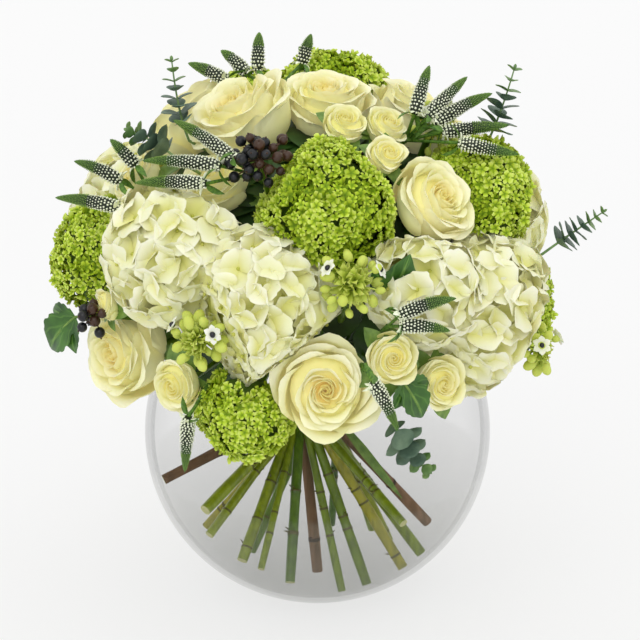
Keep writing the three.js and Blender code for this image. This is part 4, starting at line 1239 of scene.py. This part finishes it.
# Speedwell spikes: white buds in rows over a core painted nearly black as the shade between them, the buds
# smaller and farther apart towards a green tip
SPIKE_SHAPE = ((0, 0.08, 0.25, 0.5, 0.7, 0.85, 0.95, 1), (0.6, 0.92, 1, 0.88, 0.68, 0.46, 0.26, 0.06))
SPIKE_RADIUS = 5.3 * MM
SPIKE_STEPS = 25
CORE_SHARE = 0.84
SPIKE_ENDS = (0.015, 0.97)
WHITE_SHARE = (0.46, 0.76)
WHITE_BUD = ((0, 0.25, 0.6, 0.85, 1), (0.86, 0.8, 0.6, 0.4, 0.24))
WHITE_APART = ((0, 0.3, 1), (2.65, 2.6, 1.9))
GREEN_BUD = ((0.5, 0.8, 1), (0.42, 0.38, 0.3))
GREEN_APART = ((0.4, 1), (1.5, 1.1))
FLUFF = 7


def spray_foot(azimuth, out, height):
    """Where the stalk of a spray with this foot starts, well inside the dome."""
    inside = max(out - SPRAY_REACH, SPRAY_CORE)
    if height < LOW_SPRAY_HEIGHT:
        return at(azimuth, inside, max(LOW_SPRAY_START, height))
    return at(azimuth, inside, height - SPRAY_DROP)


def between_rows(share, shares, rows):
    """The row of numbers at a share of the way down some rows."""
    return np.stack([np.interp(share, shares, column) for column in rows.T], axis=-1)


class SpikeLine:
    def __init__(self, start, tip, bow):
        self.shares = np.linspace(0, 1, SPIKE_STEPS)
        self.path = bezier(start, (start + tip) / 2 + [0, 0, bow * MM], tip, SPIKE_STEPS)
        self.radii = SPIKE_RADIUS * np.interp(self.shares, *SPIKE_SHAPE)
        self.tangents = unit(np.gradient(self.path, axis=0))
        self.length = np.linalg.norm(tip - start)

    def at(self, share):
        place = between_rows(share, self.shares, self.path)
        tangent = unit(between_rows(share, self.shares, self.tangents))
        return place, tangent, np.interp(share, self.shares, self.radii)


def bud_rows(line, start, end, whole, bud, apart_by, rng):
    """Staggered rings of buds: places, sizes and frames. Both tables are read by the share of the whole."""
    spots, sizes, axes = [], [], []
    place, row = start, 0
    while place < end:
        middle, tangent, radius = line.at(place)
        size = np.interp(place / whole, *bud) * MM
        gap = np.interp(place / whole, *apart_by) * MM
        around = max(4, round(2 * math.pi * radius / gap))
        turned = turned_to(tangent, row * math.pi / around)[0]
        for j in range(around):
            side = aside_of(turned, 2 * math.pi * j / around + rng.uniform(-0.08, 0.08))
            spots.append(middle + side * (radius - size * 0.7) + tangent * size * rng.uniform(-0.3, 0.3))
            sizes.append(size * rng.uniform(0.85, 1.1))
            axes.append(unit(side + tangent * 0.8))
        place += gap * 0.87 / line.length
        row += 1
    return np.array(spots), np.array(sizes), turned_to(np.array(axes))


def fluff(shells, line, rng):
    """The oldest flowers at the foot of a spike, open, and a few narrow leaves under them."""
    middle, tangent, radius = line.at(0.02)
    turned = turned_to(-tangent, rng.uniform(0, 6))[0]
    for k in range(FLUFF):
        side = aside_of(turned, 2 * math.pi * k / FLUFF + rng.uniform(-0.3, 0.3))
        is_leaf = k % 3 == 2
        aim = unit(side - tangent * (0.9 if is_leaf else rng.uniform(-0.4, 0.7)))
        length = MM * (rng.uniform(13, 17) if is_leaf else rng.uniform(5, 7.5))
        width = length * (0.16 if is_leaf else 0.34)
        slot = 2 if is_leaf else 1
        base = middle + side * radius * 0.5
        blade(shells, FLUFF_LEAF, base, aim, tangent + side, length, width, slot)


def spike(shells, fork, start, tip, bow, rng):
    line = SpikeLine(start, tip, bow)
    stalk = bezier(fork, lerp(fork, start, 0.6), start, 6)
    tube(shells, stalk, SPIKE_STALK * MM, sides=6, slot=2)
    tube(shells, line.path, line.radii * CORE_SHARE, sides=10)
    fluff(shells, line, rng)
    low, high = SPIKE_ENDS
    white = rng.uniform(*WHITE_SHARE)
    spots, sizes, frames = bud_rows(line, low, white, white, WHITE_BUD, WHITE_APART, rng)
    beads(shells, BEAD, spots, sizes, slot=1, frames=frames, longer=1.1)
    spots, sizes, frames = bud_rows(line, white, high, 1, GREEN_BUD, GREEN_APART, rng)
    beads(shells, SMALL_BUD, spots, sizes, slot=3, frames=frames, longer=1.3)


def speedwell(name, rows):
    rng = np.random.default_rng([11, *name.encode()])
    shells = Shells()
    foot = spray_foot(*rows[0][0])
    fork = lerp(foot, at(*rows[0][0]), 0.55)
    tube(shells, np.linspace(foot, fork, 5), SPRAY_STALK * MM, sides=8, slot=2)
    for i, (start, tip) in enumerate(rows):
        spike(shells, fork, at(*start), at(*tip), 4 - i, rng)
    paints = ["speedwell_core", "speedwell_bead", "speedwell_tip", "speedwell_bud"]
    finish_piece(f"{name}_spikes", shells, paints, "speedwell", name)


# Gum sprigs: pairs of leaves, each pair crosswise to the last and smaller
GUM_PAIRS = 8
GUM_YOUNG = 5
GUM_STEPS = 17


def gum(name, row):
    rng = np.random.default_rng([13, *name.encode()])
    shells = Shells()
    start, bend, tip, length = row
    curve = bezier(at(*start), at(*bend), at(*tip), GUM_STEPS)
    path = np.concatenate([np.linspace(spray_foot(*start), curve[0], 5)[:-1], curve])
    tube(shells, path, np.linspace(1.1, 0.5, len(path)) * MM, sides=7, slot=1)
    tangents = unit(np.gradient(curve, axis=0))
    for i in range(GUM_PAIRS):
        share = i / (GUM_PAIRS - 1)
        station = lerp(0.3, 0.99, share) * (GUM_STEPS - 1)
        low = min(int(station), GUM_STEPS - 2)
        place = lerp(curve[low], curve[low + 1], station - low)
        turned = turned_to(tangents[low], i * math.pi / 2 + 0.3)[0]
        size = length * MM * (1 - 0.62 * share**1.3)
        slot = 2 if i >= GUM_YOUNG else 0
        for side in (1, -1):
            out = unit(side * turned[:, 0] + tangents[low] * rng.uniform(0.15, 0.5))
            normal = unit(tangents[low] - out * (tangents[low] @ out) + rng.normal(0, 0.15, 3))
            blade(shells, GUM_LEAF, place, out, normal, size, size * 0.5, slot)
    blade(shells, GUM_TIP_LEAF, curve[-1], tangents[-1], turned[:, 1], 4 * MM, 1.3 * MM, 2)
    finish_piece(f"{name}_sprig", shells, ["gum_leaf", "gum_tip", "gum_tip"], "gum", name)


# Broad leaves: three lobes, as the turn of each one and its share of the length, with a stalk up the rib
LOBES = ((0, 1), (-0.9, 0.62), (0.8, 0.7))


def broad_leaf(name, row):
    shells = Shells()
    start, end, width, face_azimuth = row
    base = at(*start)
    length = np.linalg.norm(at(*end) - base)
    along = unit(at(*end) - base)
    side = unit(np.cross(facing(face_azimuth, LEAF_LIFT), along))
    normal = np.cross(along, side)
    for turn, share in LOBES:
        aim = along * math.cos(turn) + side * math.sin(turn)
        half = width * MM / 2 * share
        blade(shells, BROAD_LEAF, base, aim, normal, length * share, half, 0)
    rib = np.linspace(0, 0.85, 9)[:, None]
    rise = 4 * BROAD_LEAF.arch * length * rib * (1 - rib)
    rib_path = base + along * length * rib + normal * (rise + 0.3 * MM)
    path = np.concatenate([np.linspace(spray_foot(*start), base, 5)[:-1], rib_path])
    radii = np.append(np.full(4, 1.2), np.linspace(1.1, 0.3, 9)) * MM
    tube(shells, path, radii, sides=7, slot=1)
    finish_piece(f"{name}_blade", shells, ["leaf_blade", "calyx"], "leaf", name)


# Bud clusters: a knot of narrow leaves, buds round it on short stalks, and two open flowers with a black eye
KNOT_LEAVES = 60
STAR_BUDS = 26
BUDS_LEFT_OUT = 6
STAR_FLOWERS = (0.4, 2.6)
STAR_PETALS = 6


def star_knot(shells, head, rng):
    for spot, normal in zip(*ball_spots(head, KNOT_LEAVES, 100)):
        base = head.centre + spot * head.radius * 0.2
        aim = unit(normal + rng.normal(0, 0.22, 3) + 0.25 * head.axis)
        length = head.radius * rng.uniform(0.34, 0.46)
        face = unit(rng.normal(0, 1, 3))
        blade(shells, KNOT_LEAF, base, aim, face, length, length * 0.24, 0)


def star_buds(shells, head, rng):
    around, outward = (rows[BUDS_LEFT_OUT:] for rows in ball_spots(head, STAR_BUDS, 128))
    around = tilted(around, rng, 0.12)
    places = head.centre + around * head.radius * rng.uniform(0.66, 0.86, len(around))[:, None]
    frames = turned_to(tilted(outward, rng, 0.3))
    sizes = rng.uniform(2.5, 3.9, len(around)) * MM
    beads(shells, FINE_BEAD, places, sizes, tones=(0.75, 0.5, 0.6), frames=frames, longer=1.35)
    for place in places:
        tube(shells, np.linspace(head.centre, place, 4), BUD_STALK * MM, sides=5, tone=(0.3, 0.5, 0.5))


def star_flower(shells, head, turn):
    aim = unit(head.frame @ np.array([math.cos(turn) * 0.9, math.sin(turn) * 0.9, 0.55]))
    place = head.centre + aim * head.radius * 0.84
    turned = turned_to(aim, turn)[0]
    for angle in angles_round(STAR_PETALS):
        out = unit(aside_of(turned, angle) + aim * 0.25)
        blade(shells, STAR_PETAL, place, out, aim, 7 * MM, 2.6 * MM, 1)
    beads(shells, FINE_BEAD, (place + aim * 1.5 * MM)[None], 2.1 * MM, 2)


def star(head):
    shells = Shells()
    star_knot(shells, head, head.rng)
    star_buds(shells, head, head.rng)
    for turn in STAR_FLOWERS:
        star_flower(shells, head, turn)
    finish_piece(f"{head.name}_buds", shells, ["star_bud", "star_white", "ink_black"], "star", head.name)


# Berries on thin stalks, each with a pin at its end. Some are brown.
LARGE_CLUSTER = 20 * MM
MANY_BERRIES = 34
FEW_BERRIES = 11


def apart(places, sizes):
    """Pushes balls that overlap away from each other."""
    others = 1 - np.eye(len(places))
    for _ in range(60):
        between = places[:, None] - places
        distance = np.linalg.norm(between, axis=2) + np.eye(len(places))
        short = np.maximum(sizes[:, None] + sizes - distance, 0) * others
        places = places + (between / distance[..., None] * short[..., None]).sum(axis=1) * 0.3
    return places


def berries(head):
    rng = head.rng
    shells = Shells()
    count = MANY_BERRIES if head.radius > LARGE_CLUSTER else FEW_BERRIES
    around, _ = ball_spots(head, count, 105)
    places = head.centre + around * head.radius * rng.uniform(0.35, 0.86, count)[:, None]
    sizes = rng.uniform(3.0, 4.1, count) * MM
    places = apart(places, sizes)
    brown = rng.uniform(-0.6, 0.6, count) + around[:, 0] > 0.15
    for slot, chosen in enumerate((~brown, brown)):
        beads(shells, globe(9, 16), places[chosen], sizes[chosen], slot)
    for place, size, aim in zip(places, sizes, unit(places - head.centre)):
        stalk = np.linspace(head.centre, place, 5)
        tube(shells, stalk, BERRY_STALK * MM, sides=5, slot=2, tone=(0.5, 0.3, 0.5))
        pin = np.array([place + aim * size * 0.9, place + aim * (size + 0.9 * MM)])
        tube(shells, pin, np.array([0.75, 0.45]) * MM, sides=6, slot=1)
    finish_piece(f"{head.name}_fruit", shells, ["berry_skin", "berry_brown", "bark"], "berry", head.name)


# Stems
def stem_route(seat, axis):
    """From the tie to under a seat, round the bowl's rim where the seat is low and far out."""
    out = math.hypot(seat[0], seat[1]) / MM
    azimuth = azimuth_of(seat)
    hold = BUNCH_RADIUS * (0.1 + 0.4 * out / BOWL_RADIUS)
    start = at(azimuth, hold, TIE_HEIGHT + HOLD_RISE)
    end = seat - axis * GAP * MM
    if out > RIM_CLEAR_OUT and end[2] < LEAN_HEIGHT * MM:
        return [start, at(azimuth, RIM_CLEAR_OUT, RIM_CLEAR_HEIGHT), end]
    return [start, end]


def foot_point(azimuth, out, radius):
    """Where a stem's end rests on the inside of the glass."""
    clear = radius + GAP
    inner = BOWL_RADIUS - BOWL_WALL - clear
    on_wall = BOWL_CENTRE - math.sqrt(inner**2 - out**2)
    return at(azimuth, out, max(on_wall, BOWL_FLOOR + clear))


def resampled(points, shares):
    """Points at the given shares of the way along straight legs, with the corners eased."""
    points = np.array(points)
    legs = np.linalg.norm(np.diff(points, axis=0), axis=1)
    marks = np.append(0, np.cumsum(legs)) / legs.sum()
    eased = np.linspace(0, 1, 40)
    path = between_rows(eased, marks, points)
    path[1:-1] = (path[:-2] + 2 * path[1:-1] + path[2:]) / 4
    return between_rows(shares, eased, path)


SCAR_HALF = 0.0045
SCAR_RINGS = np.array([-1.7, -0.6, 0.6, 1.7])


def ringed(steps, rng):
    """Places of the rings along a stem, how thick each is and how bare of the dark scars, which stand out."""
    scars = rng.uniform(0.42, 0.96, 3)
    round_scars = (scars[:, None] + SCAR_HALF * SCAR_RINGS).ravel()
    shares = np.sort(np.concatenate([np.linspace(0, 1, steps), round_scars]).clip(0, 1))
    near = np.exp(-(((shares[:, None] - scars) / SCAR_HALF) ** 2)).max(axis=1)
    thickness = 0.92 + 0.12 * near + 0.04 * np.sin(shares * 23 + scars[0] * 9)
    return shares, thickness, 1 - near


def stem_tube(shells, points, radius, rng, steps, sides):
    """A knuckled stem through points, with a few short stubs of side shoots."""
    shares, thickness, bare = ringed(steps, rng)
    path = resampled(points, shares)
    draw = rng.uniform(0, 1)
    tones = np.stack(np.broadcast_arrays(shares, draw, bare), axis=1)
    tube(shells, path, radius * thickness, sides, tone=tones, cut_slot=1)
    for k in np.nonzero(bare < 0.4)[0][::2]:
        along = unit(path[min(k + 1, len(path) - 1)] - path[k - 1])
        aim = unit(np.cross(along, rng.normal(0, 1, 3)) - 0.5 * along)
        stub = path[k] + aim * radius * np.array([[0.5], [1.75]])
        tube(shells, stub, np.array([0.9, 0.3]) * MM, sides=5, tone=(0.5, draw, 0.3))


LINING_LEAVES = 250
LINING_SHAPE = ((203, 216, 240, 280, 320, 345), (104, 110, 112, 104, 78, 30))

# Loose leaves: foot and tip as azimuth, distance out and height, half the width, azimuth faced and slot
STRAY_LEAVES = (
    ((35, 24, 134), (68, 66, 73), 3.5, 0, 3),
    ((-63, 99, 178), (-69, 124, 240), 13, -30, 3),
    ((-46, 84, 174), (-56, 112, 210), 12, -30, 2),
)


def lining(shells, rng):
    """Leaves left on the stems inside the dome, seen only between the heads, in a darker green than the outer
    leaves: partly their own green, partly painted shade.
    """
    for k in range(LINING_LEAVES):
        height = lerp(LINING_SHAPE[0][0], LINING_SHAPE[0][-1], math.sqrt((k + 0.5) / LINING_LEAVES))
        azimuth = math.degrees(k * GOLDEN_ANGLE)
        middle = at(azimuth, np.interp(height, *LINING_SHAPE), height)
        outward = facing(azimuth + rng.uniform(-20, 20), np.interp(height, (240, 345), (0, 80)))
        across = unit(np.cross(outward, rng.normal(0, 1, 3)))
        along = np.cross(across, outward)
        length = rng.uniform(38, 50) * MM
        base = middle - along * length / 2
        blade(shells, LINING_LEAF, base, along, outward, length, length * 0.34, 2)


def stray_leaves(shells):
    for start, end, half_width, azimuth, slot in STRAY_LEAVES:
        foot = at(*start)
        length = np.linalg.norm(at(*end) - foot)
        aim = (at(*end) - foot) / length
        face = facing(azimuth, LEAF_LIFT)
        blade(shells, STRAY_LEAF, foot, aim, face, length, half_width * MM, slot)


def stem_feet(shells, rng):
    """The stems below the tie, each from a little above it."""
    for azimuth, out, radius in GREEN_FEET:
        share = rng.uniform(0.5, 0.75)
        hold = at(azimuth - FOOT_TWIST, BUNCH_RADIUS * share, TIE_HEIGHT - HOLD_RISE)
        foot = foot_point(azimuth, out, radius)
        above = hold + (hold - foot) * 0.42
        stem_tube(shells, [above, hold, foot], radius * MM, rng, steps=20, sides=11)


def stem_seats():
    """Where each stalk inside the dome ends, the way it points there and its radius."""
    on_wood = {head_name for _, head_name in WOODY_STEMS.values()}
    own = [head for name, head in heads.items() if name not in on_sprays | on_wood]
    seats = [(head.seat, head.axis, STEM[head.kind]) for head in own]
    starts = [rows[0][0] for rows in SPEEDWELL.values()]
    starts += [row[0] for row in [*GUM.values(), *LEAVES.values()]]
    for start in starts:
        foot = spray_foot(*start)
        seats.append((foot, unit(at(*start) - foot), STEM["sprig"]))
    for members in ROSE_SPRAYS.values():
        _, axis, fork = fork_of(members)
        seats.append((fork, axis, STEM["sprig"]))
    return seats


def green_stems():
    rng = np.random.default_rng(5)
    shells = Shells()
    lining(shells, rng)
    stray_leaves(shells)
    stem_feet(shells, rng)
    for seat, axis, radius in stem_seats():
        path = resampled(stem_route(seat, axis), np.linspace(0, 1, 14))
        tube(shells, path, radius * MM * 0.9, sides=8, tone=(0.5, rng.uniform(0, 0.4), 1))
    core = [(0, -9), (14, -9), (15, 9), (32, 40), (0, 50)]
    turned_shell(shells, [(out, TIE_HEIGHT + rise) for out, rise in core], 24, (0.5, 0.2, 1))
    paints = ["green_stem", "cut_end", "inner_leaf", "calyx"]
    finish_piece("stem_bunch", shells, paints, "green_stem", "green_stems")


def woody_stem(name, foot, head_name):
    rng = np.random.default_rng([17, *name.encode()])
    shells = Shells()
    head = heads[head_name]
    azimuth, out, radius = foot
    hold = at(azimuth - FOOT_TWIST, BUNCH_RADIUS * 0.6, TIE_HEIGHT - HOLD_RISE)
    rise = at(azimuth_of(head.seat), BUNCH_RADIUS * 0.6, TIE_HEIGHT + 20)
    points = [*stem_route(head.seat, head.axis)[:0:-1], rise, hold, foot_point(azimuth, out, radius)]
    stem_tube(shells, points, radius * MM, rng, steps=40, sides=12)
    finish_piece(f"{name}_bark", shells, ["bark", "cut_end"], "woody_stem", name)


COILS = 5
COILS_HALF = 3.9


def binding_twine():
    shells = Shells()
    turn = np.linspace(0, 2 * math.pi * COILS, COILS * 40)
    ring = BUNCH_RADIUS + GAP + TWINE_THICKNESS / 2
    height = np.linspace(TIE_HEIGHT - COILS_HALF, TIE_HEIGHT + COILS_HALF, len(turn))
    path = np.stack([ring * np.cos(turn), ring * np.sin(turn), height], axis=1) * MM
    strand = TWINE_THICKNESS / 2 * 0.72 * MM
    tube(shells, path, strand * (1 + 0.12 * np.cos(turn * 9)), sides=8)
    finish_piece("twine_coils", shells, ["twine"], "twine", "binding_twine")


# The stage: a pale floor, soft lights and the camera at the photograph's angle
CAMERA_ELEVATION = 19
CAMERA_DISTANCE = 1900
TARGET = np.array([1.81, 0, 200.9])
FOCAL_PIXELS = 2656.6
PHOTO_PIXELS = 640
SENSOR = 36


def camera():
    data = bpy.data.cameras.new("photo_camera")
    data.sensor_width = SENSOR
    data.lens = FOCAL_PIXELS * SENSOR / PHOTO_PIXELS
    view = placed("photo_camera", data)
    target = Vector(TARGET * MM)
    view.location = Vector((TARGET + CAMERA_DISTANCE * facing(0, CAMERA_ELEVATION)) * MM)
    view.rotation_euler = (target - view.location).to_track_quat("-Z", "Y").to_euler()
    bpy.context.scene.camera = view


def sun(name, azimuth, elevation, strength, softness):
    data = bpy.data.lights.new(name, "SUN")
    data.energy = strength
    data.angle = math.radians(softness)
    light = placed(name, data)
    light.rotation_euler = Vector(facing(azimuth, elevation)).to_track_quat("Z", "Y").to_euler()


WORLD_LIGHT = 0.94
FLOOR_COLOR = (130, 130, 130)
FLOOR_GLOW = 0.672
FLOOR_HALF = 6.0
FLOOR_DROP = 0.0005


def stage():
    mesh = bpy.data.meshes.new("floor")
    corners = [(x * FLOOR_HALF, y * FLOOR_HALF, 0) for x, y in ((-1, -1), (1, -1), (1, 1), (-1, 1))]
    mesh.from_pydata(corners, [], [(0, 1, 2, 3)])
    floor = placed("floor", mesh)
    floor.location.z = -FLOOR_DROP
    paint = Paint("floor", 0.9)
    paint.set(Base_Color=light_of(FLOOR_COLOR), Emission_Color=WHITE, Emission_Strength=FLOOR_GLOW)
    mesh.materials.append(paint.material)
    world = bpy.data.worlds.new("studio")
    world.use_nodes = True
    background = world.node_tree.nodes["Background"]
    background.inputs["Color"].default_value = WHITE
    background.inputs["Strength"].default_value = WORLD_LIGHT
    bpy.context.scene.world = world
    bpy.context.scene.view_settings.view_transform = "Standard"
    sun("key", -18, 42, 0.5, 40)
    sun("top", 40, 75, 0.3, 60)


HEAD_MAKERS = {
    "rose": rose,
    "spray_rose": rose,
    "hydrangea": hydrangea,
    "guelder": guelder,
    "star": star,
    "berries": berries,
}
SPRAY_MAKERS = ((rose_spray, ROSE_SPRAYS), (speedwell, SPEEDWELL), (gum, GUM), (broad_leaf, LEAVES))


def build():
    make_materials()
    camera()
    stage()
    glass_bowl()
    binding_twine()
    green_stems()
    for name, (foot, head_name) in WOODY_STEMS.items():
        woody_stem(name, foot, head_name)
    for name, head in heads.items():
        if name not in on_sprays:
            HEAD_MAKERS[head.kind](head)
    for make, rows in SPRAY_MAKERS:
        for name, row in rows.items():
            make(name, row)


build()
